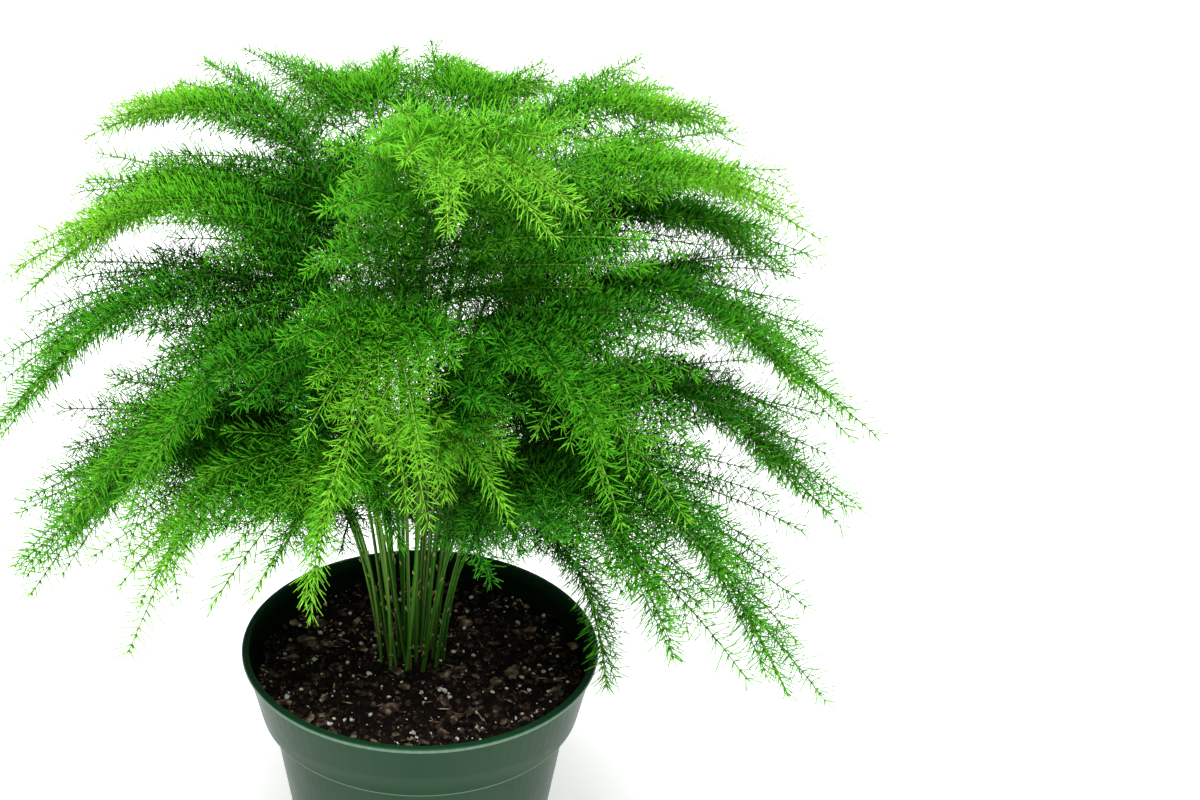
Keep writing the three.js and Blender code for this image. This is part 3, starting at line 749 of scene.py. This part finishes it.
@dataclass(frozen=True)
class Clump:
    """Where the stems stand, and what fronds have to keep clear of."""

    x: float = -4.0
    y: float = 8.0
    soil: float = 132.0
    rim: float = 146.0
    rim_outer: float = 82.5
    rim_inner: float = 77.0
    margin: float = 1.0

    @property
    def axis(self) -> Array:
        """The point on the soil that the clump grows round."""
        return np.array([self.x, self.y, self.soil])

    def away(self, x: float, y: float) -> float:
        """Level distance from the clump's axis."""
        return math.hypot(x - self.x, y - self.y)

    def clear(self, points: Array) -> Array:
        """Tell which points are clear of the pot and the soil.

        Args:
            points: Any array of points.

        Returns:
            One truth value a point.
        """
        radius = np.hypot(points[..., 0], points[..., 1])
        over_rim = radius > self.rim_inner - self.margin
        floor = np.where(over_rim, self.rim + self.margin, self.soil + 2 * self.margin)
        return (radius > self.rim_outer + self.margin) | (points[..., 2] > floor)


@dataclass
class Shoots:
    """Many side shoots as arrays: a point at w is origin + reach w + bend w²."""

    origin: Array
    reach: Array
    bend: Array
    length: Array
    youth: Array

    def point(self, which: Array, w: Array) -> Array:
        """Points of the named shoots at the shares w."""
        w = w[..., None]
        return self.origin[which] + self.reach[which] * w + self.bend[which] * w * w

    def along(self, which: Array, w: Array) -> Array:
        """Directions of the named shoots at the shares w."""
        return unit(self.reach[which] + 2 * self.bend[which] * w[..., None])

    def only(self, keep: Array) -> "Shoots":
        """The shoots for which keep is true."""
        parts = (self.origin, self.reach, self.bend, self.length, self.youth)
        return Shoots(*(part[keep] for part in parts))


@dataclass
class Frond:
    """One arching frond: stem, side branches, twigs, needles and scale leaves.

    A pair is a value at the foot and one at the tip, the least and the most of
    a random draw, or a value for branches and one for twigs. Of twig_share and
    needle_angle, the second value is for a fresh frond. Ages grow from the foot
    value by the gain that stands with it. A tube is its sides and its rings, and
    probes are the first and last share of a branch that is held against the pot,
    and how many there are.
    """

    arch: Arch
    index: int
    root: Array
    clump: Clump
    sites: int = 30
    stem_radius: tuple = (0.95, 0.42)
    branch_radius: tuple = (0.5, 0.26)
    twig_radius: tuple = (0.3, 0.18)
    stem_sides: int = 6
    stem_rings: int = 30
    stem_samples: int = 60
    branch_tube: tuple = (3, 6)
    twig_tube: tuple = (3, 3)
    socket: float = 20.0
    probes: tuple = (0.1, 1.0, 12)
    last_branch: float = 0.9
    reach_out: float = 0.7
    reach_fade: float = 0.8
    foot_share: float = 0.5
    shoulder: float = 0.12
    unevenness: float = 0.3
    taper: float = 0.35
    root_angle: float = 56.0
    angle_drop: float = 38.0
    angle_power: float = 0.6
    angle_spread: float = 5.0
    forward_curl: float = 0.15
    droop: float = 0.2
    wave: float = 0.1
    twig_spacing: float = 8.0
    twig_start: float = 3.0
    twig_zone: float = 0.56
    twig_fade: float = 0.12
    twig_power: float = 0.7
    twig_longest: float = 30.0
    twig_shortest: float = 5.0
    twig_share: tuple = (0.5, 0.32)
    twig_size: tuple = (0.72, 1.12)
    twig_angle: tuple = (32.0, 52.0)
    twig_curl: tuple = (0.1, 0.3)
    twig_droop: tuple = (0.08, 0.25)
    twig_youth: float = 0.15
    jitter: tuple = (-0.35, 0.35)
    fresh_gap: int = 3
    whorl_start: tuple = (5.0, 2.5)
    whorl_spacing: tuple = (2.5, 2.3)
    whorl_jitter: tuple = (-0.25, 0.25)
    whorl_needles: int = 5
    first_whorl: float = 0.02
    needle_share: tuple = (1.0, 0.8)
    needle_radius: tuple = (0.27, 0.24)
    needle_size: tuple = (0.7, 1.15)
    needle_tip: float = 0.8
    needle_angle: tuple = (64.0, 44.0)
    needle_lean: tuple = (-13.0, 13.0)
    closing_start: float = 0.84
    closing: float = 0.4
    tint_spread: float = 0.06
    youth_power: float = 2.0
    stem_age: tuple = (0.15, 0.7)
    shoot_youth: float = 0.5
    needle_youth: float = 0.35
    leader_youth: tuple = (0.2, 0.3)
    leader_samples: int = 200
    scale_spacing: float = 13.0
    scale_jitter: tuple = (0.2, 0.9)
    scale_phase: tuple = (0.0, 6.28)
    scale_turn: float = 2.4
    scale_foot: float = 0.9
    scale_lean: float = 0.22
    scale_length: tuple = (2.6, 4.0)
    scale_radius: float = 0.62
    scale_age: tuple = (0.2, 0.9)

    def __post_init__(self) -> None:
        """Set up the directions, the arch's control points and the draws."""
        angle = math.radians(self.arch.azimuth)
        self.out = out = np.array([math.cos(angle), math.sin(angle), 0.0])
        self.left = np.array([-math.sin(angle), math.cos(angle), 0.0])
        way = [self.clump.axis + out * reach + UP * height for reach, height in self.arch.points]
        self.controls = np.array([self.root, *way])
        self.fresh = int(self.arch.tone is Tone.FRESH)
        self.growth = Growth()
        self.rng = np.random.default_rng(SEED * 1000 + self.index)

    # ---- lines

    def stem(self, t: Array) -> Array:
        """Points of the main stem.

        Args:
            t: Shares of its length, 0 at the soil to 1 at the tip.

        Returns:
            One point for each share.
        """
        t = np.asarray(t, float)[..., None]
        order = len(self.controls) - 1
        total = sum(
            math.comb(order, i) * t**i * (1 - t) ** (order - i) * self.controls[i]
            for i in range(order + 1)
        )
        return total + self.left * self.arch.sway * t * t

    def stem_along(self, t: Array, step: float = 0.01) -> Array:
        """Directions of the main stem."""
        t = np.asarray(t, float)
        return unit(self.stem(np.minimum(1, t + step)) - self.stem(np.maximum(0, t - step)))

    def branch(self, slot: int, share: float, lift: float) -> tuple:
        """One side branch as the CAD draws it.

        Args:
            slot: Its place along the blade.
            share: Its length as a share of the full one.
            lift: How far it is bent up.

        Returns:
            Origin, reach, bend and length.
        """
        one, two, three, four = (draw(self.index, slot, kind) for kind in (1, 2, 3, 4))
        s = (slot + 0.5) / self.sites
        t = self.arch.blade + (1 - self.arch.blade) * s * self.last_branch
        outwards = self.reach_out * (1 - self.reach_fade * s)
        along = unit(self.stem_along(t) * (1 - outwards) + self.out * outwards)
        outward = self.left * (1 if slot % 2 else -1)
        above = np.cross(along, self.left)
        angle = self.root_angle - self.angle_drop * s**self.angle_power + self.angle_spread * two
        angle = math.radians(angle)
        start = unit(
            along * math.cos(angle) + outward * math.sin(angle) + above * (self.wave * three + lift)
        )
        widening = self.foot_share + (1 - self.foot_share) * min(1, s / self.shoulder)
        outline = widening * (1 - self.taper * s)
        length = share * self.arch.spread * outline * (1 + self.unevenness * one)
        droop = self.droop + self.wave * four
        bend = along * length * self.forward_curl - UP * length * droop
        return self.stem(t), start * length, bend, length

    def branches(self) -> Shoots:
        """All side branches, bent up or shortened where the pot is in the way.

        Returns:
            The branches, without those that no try gets clear.
        """
        chosen = []
        w = np.linspace(*self.probes)[:, None]
        for slot in range(self.sites):
            if self.fresh and (slot + 1) % self.fresh_gap == 0:
                continue
            for share, lift in BRANCH_TRIES:
                origin, reach, bend, length = self.branch(slot, share, lift)
                if self.clump.clear(origin + reach * w + bend * w * w).all():
                    chosen.append((origin, reach, bend, length, slot))
                    break
        origin, reach, bend, length, slots = (np.array(x) for x in zip(*chosen))
        youth = self.arch.tone.value[1] * (slots / self.sites) ** self.youth_power
        return Shoots(origin, reach, bend, length, youth)

    def twigs(self, branches: Shoots) -> Shoots:
        """Second-order twigs, left and right by turns along each branch.

        Args:
            branches: The side branches they stand on.

        Returns:
            The twigs that are clear of the pot.
        """
        rooms = np.maximum(branches.length * self.twig_zone - self.twig_start, 0)
        which, rank = ranked((rooms / self.twig_spacing).astype(int))
        count = len(which)
        steps = rank + 0.5 + self.rng.uniform(*self.jitter, count)
        length = branches.length[which]
        w = (self.twig_start + steps * self.twig_spacing) / length
        along = branches.along(which, w)
        normal = unit(np.cross(np.broadcast_to(self.left, along.shape), along))
        side = unit(np.cross(along, normal)) * np.where(rank % 2, 1, -1)[:, None]
        angle = np.radians(self.rng.uniform(*self.twig_angle, count))[:, None]
        tilt = self.rng.uniform(*self.jitter, count)[:, None]
        start = unit(along * np.cos(angle) + side * np.sin(angle) + normal * tilt)
        reach = np.clip(1 - w / (self.twig_zone + self.twig_fade), 0, 1) ** self.twig_power
        room = np.minimum(self.twig_longest, self.twig_share[self.fresh] * length) * reach
        size = np.maximum(room * self.rng.uniform(*self.twig_size, count), self.twig_shortest)
        curl = along * (size * self.rng.uniform(*self.twig_curl, count))[:, None]
        bend = curl - UP * (size * self.rng.uniform(*self.twig_droop, count))[:, None]
        youth = branches.youth[which] + self.twig_youth * w
        made = Shoots(branches.point(which, w), start * size[:, None], bend, size, youth)
        return made.only(self.clump.clear(made.point(np.arange(count), np.ones(count))))

    # ---- meshes

    def add_tubes(self, shoots: Shoots, stamp: Stamp, radii: tuple) -> None:
        """Wrap a tapering tube round each shoot.

        Args:
            shoots: The lines to follow.
            stamp: The tube.
            radii: Radius at the foot and at the tip.
        """
        which = np.arange(len(shoots.length))[:, None]
        w = stamp.share
        radius = radii[0] + (radii[1] - radii[0]) * w
        age = self.arch.youth + shoots.youth[which] + self.shoot_youth * w * w
        centre, along = shoots.point(which, w), shoots.along(which, w)
        self.growth.add(stamp, centre, along, radius, Tissue.SHOOT, age)

    def add_stem(self) -> None:
        """The main stem, from the foot in its socket to the frond's tip."""
        stamp = Stamp.tube(self.stem_sides, self.stem_rings)
        rings = self.stem_rings + 1
        t = np.clip((stamp.share * rings - 1) / self.stem_rings, 0, 1)
        points = self.stem(t)
        points[stamp.share < 0.5 / rings] -= UP * self.socket
        foot, tip = self.stem_radius
        radius = foot + (tip - foot) * t
        old, gain = self.stem_age
        age = old + gain * t**3
        along = self.stem_along(t)[None]
        self.growth.add(stamp, points[None], along, radius, Tissue.SHOOT, age, self.left)

    def add_scales(self) -> None:
        """Small papery scale leaves up the bare stem, by turns round it."""
        way = np.diff(self.stem(np.linspace(0, 1, self.stem_samples)), axis=0)
        length = np.linalg.norm(way, axis=1).sum()
        steps = int(self.arch.blade * length / self.scale_spacing)
        places = np.arange(steps) + self.rng.uniform(*self.scale_jitter, steps)
        t = self.arch.blade * places / steps
        along = self.stem_along(t)
        turn = self.scale_turn * np.arange(steps) + self.rng.uniform(*self.scale_phase)
        radial = spokes(along, self.left, turn)
        foot = self.stem(t) + radial * self.scale_foot
        direction = unit(along + self.scale_lean * radial)
        size = self.rng.uniform(*self.scale_length, steps)
        age = self.rng.uniform(*self.scale_age, steps)
        self.add_spikes(foot, direction, size, self.scale_radius, Tissue.SCALE, age)

    def add_spikes(
        self, foot: Array, direction: Array, length: Array, radius: float, tissue: Tissue, age: Array
    ) -> None:
        """Set one pointed spike at each foot.

        Args:
            foot: Where each stands.
            direction: Where each points.
            length: How long each is.
            radius: Radius at the foot.
            tissue: Palette column.
            age: Palette row of each.
        """
        stamp = Stamp.sliver(self.needle_tip)
        reach = stamp.share[None, :, None] * (direction * length[:, None])[:, None]
        centre, along = foot[:, None] + reach, direction[:, None]
        self.growth.add(stamp, centre, along, radius, tissue, age[:, None])

    def add_whorls(self, centre: Array, along: Array, share: Array, age: Array, order: int = 0) -> None:
        """Stand a whorl of needles at each node of a shoot.

        Args:
            centre: The nodes.
            along: The shoot's direction at each.
            share: How far along its shoot each is, 1 at the tip.
            age: Palette row of each.
            order: 0 on stems and branches, 1 on twigs, where needles are finer.
        """
        nodes, spoke = ranked(np.full(len(centre), self.whorl_needles))
        count = len(nodes)
        phase = self.rng.uniform(0, FULL_TURN, len(centre))[nodes]
        turn = FULL_TURN * spoke / self.whorl_needles + phase
        turn += self.rng.uniform(*self.jitter, count)
        along = along[nodes]
        radial = spokes(along, NEARLY_UP, turn)
        closing = np.clip((share[nodes] - self.closing_start) / (1 - self.closing_start), 0, 1)
        closed = 1 - self.closing * closing
        lean = self.rng.uniform(*self.needle_lean, count)
        angle = np.radians(self.needle_angle[self.fresh] * closed + lean)[:, None]
        direction = unit(along * np.cos(angle) + radial * np.sin(angle))
        length = NEEDLE_LENGTH[self.arch.tier] * closed * self.rng.uniform(*self.needle_size, count)
        length *= self.needle_share[order]
        foot = centre[nodes]
        age = age[nodes] + self.rng.normal(0, self.tint_spread, count)
        keep = self.clump.clear(foot + direction * length[:, None])
        needles = (part[keep] for part in (foot, direction, length))
        self.add_spikes(*needles, self.needle_radius[order], Tissue.NEEDLE, age[keep])

    def add_shoot_whorls(self, shoots: Shoots, order: int) -> None:
        """Needles along every shoot of one order, out to the tip.

        Args:
            shoots: The shoots.
            order: 0 for branches, 1 for twigs.
        """
        start, spacing = self.whorl_start[order], self.whorl_spacing[order]
        numbers = np.maximum((shoots.length - start) / spacing, 1).astype(int) + 1
        which, rank = ranked(numbers)
        jitter = self.rng.uniform(*self.whorl_jitter, len(rank))
        share = (rank + jitter) / (numbers[which] - 1)
        foot = start / shoots.length[which]
        w = np.clip(foot + (1 - foot) * share, self.first_whorl, 1)
        age = self.arch.youth + shoots.youth[which] + self.needle_youth * w**3
        centre, along = shoots.point(which, w), shoots.along(which, w)
        self.add_whorls(centre, along, w, age, order)

    def add_leader_whorls(self) -> None:
        """Needles along the blade's own midline."""
        t = np.linspace(self.arch.blade, 1, self.leader_samples)
        gaps = np.linalg.norm(np.diff(self.stem(t), axis=0), axis=1)
        travelled = np.concatenate([[0], np.cumsum(gaps)])
        steps = int(travelled[-1] / self.whorl_spacing[0])
        t = np.interp(np.linspace(0, travelled[-1], steps), travelled, t)
        share = (t - self.arch.blade) / (1 - self.arch.blade)
        even, late = self.leader_youth
        age = self.arch.youth + even * share + late * share**4
        self.add_whorls(self.stem(t), self.stem_along(t), share, age)

    def build(self, materials: dict) -> Piece:
        """Grow the frond and put it in its node's place.

        Args:
            materials: Material by tone.

        Returns:
            The frond as one piece.
        """
        self.add_stem()
        self.add_scales()
        branches = self.branches()
        twigs = self.twigs(branches)
        self.add_tubes(branches, Stamp.tube(*self.branch_tube), self.branch_radius)
        self.add_tubes(twigs, Stamp.tube(*self.twig_tube), self.twig_radius)
        self.add_leader_whorls()
        self.add_shoot_whorls(branches, 0)
        self.add_shoot_whorls(twigs, 1)
        piece = self.growth.object(f"fern_{self.arch.name}", materials[self.arch.tone])
        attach(piece, BODY)
        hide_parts(f"frond_{self.arch.name}")
        return piece


@dataclass
class Fern:
    """All fronds of the clump."""

    clump: Clump

    def build(self) -> list[Piece]:
        """Grow every frond, tier by tier.

        Returns:
            The pieces.
        """
        materials = dict.fromkeys((Tone.OLD_AND_SHADED, Tone.MID, Tone.TIPPED), GROWN.material())
        materials.update(dict.fromkeys((Tone.LIME, Tone.FRESH), YOUNG.material()))
        pieces = []
        for fronds, ring, first in TIERS:
            for rank, arch in enumerate(fronds):
                turn = math.radians(first + 360 * rank / len(fronds))
                place = np.array([math.cos(turn), math.sin(turn), 0.0])
                root = self.clump.axis + ring * place
                pieces.append(Frond(arch, len(pieces), root, self.clump).build(materials))
        return pieces


# --------------------------------------------------------------- pot and soil


def arc(centre: tuple, radius: float, start: float, end: float, steps: int) -> list[tuple]:
    """Points of an arc in the profile's plane.

    Args:
        centre: Its centre as radius and height.
        radius: Its radius.
        start: First angle in degrees.
        end: Last angle in degrees.
        steps: How many points.

    Returns:
        The points, both ends among them.
    """
    x, y = centre
    angles = [math.radians(start + (end - start) * i / (steps - 1)) for i in range(steps)]
    return [(x + radius * math.cos(a), y + radius * math.sin(a)) for a in angles]


def spun(outline: list[tuple], steps: int) -> BMesh:
    """Turn an outline round the Z axis into a closed shell.

    Args:
        outline: Points as radius and height, from axis to axis.
        steps: Steps in the full turn.

    Returns:
        The shell, with its normals facing out.
    """
    bm = bmesh.new()
    verts = [bm.verts.new((radius, 0.0, height)) for radius, height in outline]
    edges = [bm.edges.new(pair) for pair in zip(verts, verts[1:])]
    profile, turn = [*verts, *edges], {"cent": (0, 0, 0), "axis": (0, 0, 1), "angle": FULL_TURN}
    bmesh.ops.spin(bm, geom=profile, **turn, steps=steps, use_merge=True)
    bmesh.ops.remove_doubles(bm, verts=bm.verts, dist=WELD)
    bmesh.ops.recalc_face_normals(bm, faces=bm.faces)
    for face in bm.faces:
        face.smooth = True
    return bm


@dataclass
class NurseryPot:
    """A round pot with a stepped collar, a rolled lip and four drain holes."""

    height: float = 146.0
    wall: float = 1.5
    floor: float = 2.0
    base_radius: float = 53.0
    base_round: float = 1.4
    body_top: float = 70.0
    ledge_round: float = 1.0
    collar_depth: float = 31.0
    collar_foot: float = 74.7
    collar_top: float = 80.7
    collar_round: float = 0.9
    lip_radius: float = 82.5
    lip_height: float = 2.0
    lip_width: float = 3.6
    lip_under_round: float = 0.8
    lip_outer_round: float = 1.2
    lip_inner_round: float = 1.0
    drain_holes: int = 4
    drain_sides: int = 32
    drain_radius: float = 4.5
    drain_ring: float = 36.0
    steps: int = 96

    def outline(self) -> list[tuple]:
        """The wall's outline, from the axis under the floor to the axis on it.

        Offsets of a few tenths of a millimetre are the draft and the small
        fillets that a mould has.

        Returns:
            Points as radius and height.
        """
        shelf = self.height - self.collar_depth
        under = self.height - self.lip_height
        inner = self.lip_radius - self.lip_width
        base, ledge, collar = self.base_round, self.ledge_round, self.collar_round
        low, outer, mouth = self.lip_under_round, self.lip_outer_round, self.lip_inner_round
        hollow_base = self.base_radius - self.wall
        hollow_top = self.body_top - self.wall
        hollow_collar = self.collar_foot - self.wall
        step = shelf + self.wall
        return [
            (0, 0),
            (self.base_radius - 3, 0),
            *arc((self.base_radius - base, base), base, 270, 352, 5),
            (self.body_top - 0.2, shelf - 1.2),
            *arc((self.body_top + ledge, shelf - ledge), ledge, 180, 95, 4),
            *arc((self.collar_foot - collar, shelf + collar), collar, 275, 350, 5),
            (self.collar_top - 0.1, under - 1.4),
            *arc((self.collar_top + collar, under - 1.4), collar, 180, 100, 4),
            *arc((self.lip_radius - 0.9, under + 0.4), low, 285, 360, 4),
            *arc((self.lip_radius - outer - 0.1, self.height - outer), outer, 0, 90, 6),
            *arc((inner + mouth, self.height - mouth), mouth, 90, 180, 5),
            (inner + 0.1, under - 1.0),
            (hollow_collar + 0.3, step + 0.6),
            (hollow_collar - 0.4, step),
            (hollow_top, step),
            (hollow_top - 0.1, step - 1.0),
            (hollow_base + 0.3, self.floor + 0.8),
            (hollow_base - 0.5, self.floor),
            (0, self.floor),
        ]

    def build(self) -> Piece:
        """Spin the wall, cut the drain holes and dress it.

        Returns:
            The pot as one piece.
        """
        bm = spun(self.outline(), self.steps)
        pot = object_of(bm, "nursery_pot", MouldedPlastic().material())
        self.drill(pot)
        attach(pot, BODY)
        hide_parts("pot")
        return pot

    def drill(self, pot: Piece) -> None:
        """Cut the drain holes through the floor.

        Args:
            pot: The pot, whose mesh is replaced.
        """
        pins = bmesh.new()
        for i in range(self.drain_holes):
            angle = FULL_TURN * (i + 0.5) / self.drain_holes
            place = Vector((math.cos(angle), math.sin(angle), 0)) * self.drain_ring
            place.z = self.floor / 2
            radii = {"radius1": self.drain_radius, "radius2": self.drain_radius}
            size = {"segments": self.drain_sides, "depth": 3 * self.floor, **radii}
            bmesh.ops.create_cone(pins, cap_ends=True, **size, matrix=Matrix.Translation(place))
        cutter = object_of(pins, "drain_pins", pot.data.materials[0])
        cut = pot.modifiers.new("drain_holes", "BOOLEAN")
        cut.operation = "DIFFERENCE"
        cut.solver = "EXACT"
        cut.object = cutter
        evaluated = pot.evaluated_get(bpy.context.evaluated_depsgraph_get())
        mesh = bpy.data.meshes.new_from_object(evaluated)
        pot.modifiers.clear()
        pot.data = mesh
        bpy.data.objects.remove(cutter)


@dataclass(frozen=True)
class Litter:
    """One kind of lump that lies on the soil.

    Its size is the least and the most of a lump's length, and narrow those of
    its width as a share of that. Its height is a share of the length too, and
    lift is how far it stands out, as a share of its height.
    """

    name: str
    finish: Crumbly
    count: int
    size: tuple
    narrow: tuple
    flat: float
    lift: float


LITTER = (
    Litter("soil_crumbs", CRUMBS, 2600, (1.2, 5.0), (0.45, 0.95), 0.7, 0.1),
    Litter("soil_perlite", PERLITE, 640, (0.4, 3.0), (0.5, 1.0), 0.7, 0.25),
    Litter("soil_bark", BARK, 300, (1.8, 8.5), (0.4, 0.85), 0.3, 0.55),
    Litter("soil_fibres", FIBRE, 130, (2.5, 8.0), (0.08, 0.16), 0.1, 2.6),
)


@dataclass
class PottingSoil:
    """The filling, and the crumbs, perlite, bark and fibres that lie on it."""

    clump: Clump
    surface: float = 132.0
    floor: float = 2.3
    foot_radius: float = 51.4
    shelf: float = 116.5
    shelf_radius: float = 68.0
    collar_radius: float = 73.1
    rim_radius: float = 76.2
    skirt: float = 4.0
    lump: float = 1.6
    flat_radius: float = 17.0
    flat_fade: float = 8.0
    grain: float = 1.5
    coarse: float = 5.5
    fine: float = 2.2
    fine_share: float = 0.55
    slices: tuple = (3.1, 9.7)
    rings: int = 52
    steps: int = 160
    stem_radius: float = 15.0
    stem_bare: float = 0.6
    size_power: float = 2.2
    rough: float = 0.28
    lean: float = 0.5
    wall_gap: float = 1.5

    def __post_init__(self) -> None:
        """Set up the draws."""
        self.rng = np.random.default_rng(SEED + 500)

    def height(self, x: float, y: float) -> float:
        """Height of the lumpy surface, flat round the stems as in the CAD.

        Args:
            x: Place across.
            y: Place in depth.

        Returns:
            The height in millimetres.
        """
        fade = (self.clump.away(x, y) - self.flat_radius) / self.flat_fade
        lumps = math.sin(0.21 * x + 1.3) * math.cos(0.19 * y - 0.4)
        lumps += 0.6 * math.sin(0.37 * x - 0.29 * y + 2.1)
        relief = min(1.0, max(0.0, fade)) * self.lump * lumps
        return self.surface + relief + self.crumble(x, y)

    def crumble(self, x: float, y: float) -> float:
        """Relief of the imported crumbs: two slices of one noise, coarse and fine.

        Args:
            x: Place across.
            y: Place in depth.

        Returns:
            Millimetres over the smooth surface.
        """
        sizes = zip((self.coarse, self.fine), self.slices)
        coarse, fine = (noise.noise(Vector((x / size, y / size, level))) for size, level in sizes)
        return self.grain * (coarse + self.fine_share * fine)

    def build_filling(self) -> Piece:
        """The filling as one closed body.

        Returns:
            The piece.
        """
        shares = [1 - i / self.rings for i in range(self.rings)]
        outline = [
            (0, self.floor),
            (self.foot_radius, self.floor),
            (self.shelf_radius, self.shelf),
            (self.collar_radius, self.shelf),
            (self.rim_radius, self.surface - self.skirt),
            *((self.rim_radius * share, self.surface) for share in shares),
            (0, self.surface),
        ]
        bm = spun(outline, self.steps)
        for vert in bm.verts:
            if vert.co.z > self.surface - 1:
                vert.co.z = self.height(vert.co.x, vert.co.y)
        filling = object_of(bm, "potting_soil", PEAT.material())
        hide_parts("soil")
        return filling

    def scatter(self, kind: Litter) -> Piece:
        """Lay many small lumps on the surface.

        Args:
            kind: What they are.

        Returns:
            All lumps as one piece.
        """
        bm = bmesh.new()
        bmesh.ops.create_icosphere(bm, subdivisions=1, radius=0.5)
        base, faces = arrays_of(bm)
        points, indices = [], []
        least, most = kind.size
        while len(points) < kind.count:
            angle = self.rng.uniform(0, FULL_TURN)
            away = (self.rim_radius - self.wall_gap) * math.sqrt(self.rng.uniform(0, 1))
            x, y = away * math.cos(angle), away * math.sin(angle)
            if self.clump.away(x, y) < self.stem_radius and self.rng.uniform() < self.stem_bare:
                continue
            length = least + (most - least) * self.rng.uniform() ** self.size_power
            shape = base * (1 + self.rng.uniform(-self.rough, self.rough, (len(base), 1)))
            shape = shape * np.array([1, self.rng.uniform(*kind.narrow), kind.flat]) * length
            turn = Matrix.Rotation(self.rng.uniform(0, FULL_TURN), 3, "Z")
            lean = Matrix.Rotation(self.rng.uniform(-self.lean, self.lean), 3, "X")
            place = np.array([x, y, self.height(x, y) + length * kind.flat * kind.lift])
            indices.append(faces + len(points) * len(base))
            points.append(shape @ np.array(turn @ lean).T + place)
        mesh = bpy.data.meshes.new(kind.name)
        places = np.concatenate(points) * MM
        mesh.from_pydata(places.tolist(), [], np.concatenate(indices).tolist())
        return link_piece(mesh, kind.finish.material())

    def build(self) -> list[Piece]:
        """The filling and all that lies on it.

        Returns:
            The pieces.
        """
        pieces = [self.build_filling(), *(self.scatter(kind) for kind in LITTER)]
        for piece in pieces:
            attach(piece, BODY)
        return pieces


# ------------------------------------------------------------------ the studio


@dataclass
class Studio:
    """Plain white floor, soft light and the camera."""

    camera_back: float = 649.6
    camera_height: float = 578.9
    pitch: float = 25.49
    lens: float = 50.0
    sensor: float = 36.0
    shift: float = 0.15
    nearest: float = 0.05
    furthest: float = 200.0
    floor_size: float = 80.0
    floor_colour: int = 0xF4F4F4
    floor_glow: float = 0.45
    sky_strength: float = 0.4
    sun_strength: float = 4.2
    sun_softness: float = 40.0
    sun_from: tuple = (-0.05, -0.3, 1.0)

    def build(self) -> None:
        """Set up floor, world, light and camera."""
        self.add_floor()
        self.add_world()
        self.add_light()
        self.add_camera()
        bpy.context.scene.view_settings.view_transform = "Standard"

    def add_floor(self) -> None:
        """The floor, which is no part of the object: matt paper that glows a little."""
        bm = bmesh.new()
        bmesh.ops.create_grid(bm, x_segments=1, y_segments=1, size=self.floor_size / MM / 2)
        material, tree = new_material("studio_paper_matt")
        paper = {"Base Color": linear(self.floor_colour), "Roughness": 1.0}
        paper |= {"Emission Color": linear(0xFFFFFF), "Emission Strength": self.floor_glow}
        finish_material(tree, paper)
        floor = object_of(bm, "floor", material)

    def add_world(self) -> None:
        """Even white light from all round."""
        world = bpy.data.worlds.new("studio")
        world.use_nodes = True
        tree = world.node_tree
        tree.nodes.clear()
        light = {"Color": (1, 1, 1, 1), "Strength": self.sky_strength}
        sky = add_node(tree, "Background", inputs=light)
        add_node(tree, "OutputWorld", inputs={"Surface": sky})
        bpy.context.scene.world = world

    def add_light(self) -> None:
        """One broad soft light from over the front."""
        data = bpy.data.lights.new("softbox", "SUN")
        data.energy = self.sun_strength
        data.angle = math.radians(self.sun_softness)
        lamp = bpy.data.objects.new("softbox", data)
        lamp.rotation_euler = Vector(self.sun_from).to_track_quat("Z", "Y").to_euler()
        bpy.context.scene.collection.objects.link(lamp)

    def add_camera(self) -> None:
        """The camera, in front of the pot and above it."""
        data = bpy.data.cameras.new("camera")
        data.lens = self.lens
        data.sensor_width = self.sensor
        data.shift_x = self.shift
        data.clip_start, data.clip_end = self.nearest, self.furthest
        camera = bpy.data.objects.new("camera", data)
        camera.location = (0, -self.camera_back * MM, self.camera_height * MM)
        camera.rotation_euler = (math.radians(90 - self.pitch), 0, 0)
        bpy.context.scene.collection.objects.link(camera)
        bpy.context.scene.camera = camera


def report(pieces: list[Piece]) -> None:
    """Log each piece with its triangles, and the sum.

    Args:
        pieces: The pieces that the script made.
    """
    total = 0
    for piece in pieces:
        piece.data.calc_loop_triangles()
        count = len(piece.data.loop_triangles)
        total += count
        LOG.info("%s: %d triangles", piece.name, count)
    LOG.info("all pieces: %d triangles", total)


def main() -> None:
    """Build the pot, the soil, the fern and the studio, in that order."""
    logging.basicConfig(level=logging.INFO, format="%(message)s")
    clump = Clump()
    pieces = [NurseryPot().build()]
    pieces += PottingSoil(clump).build()
    pieces += Fern(clump).build()
    Studio().build()
    report(pieces)


if __name__ == "__main__":
    main()
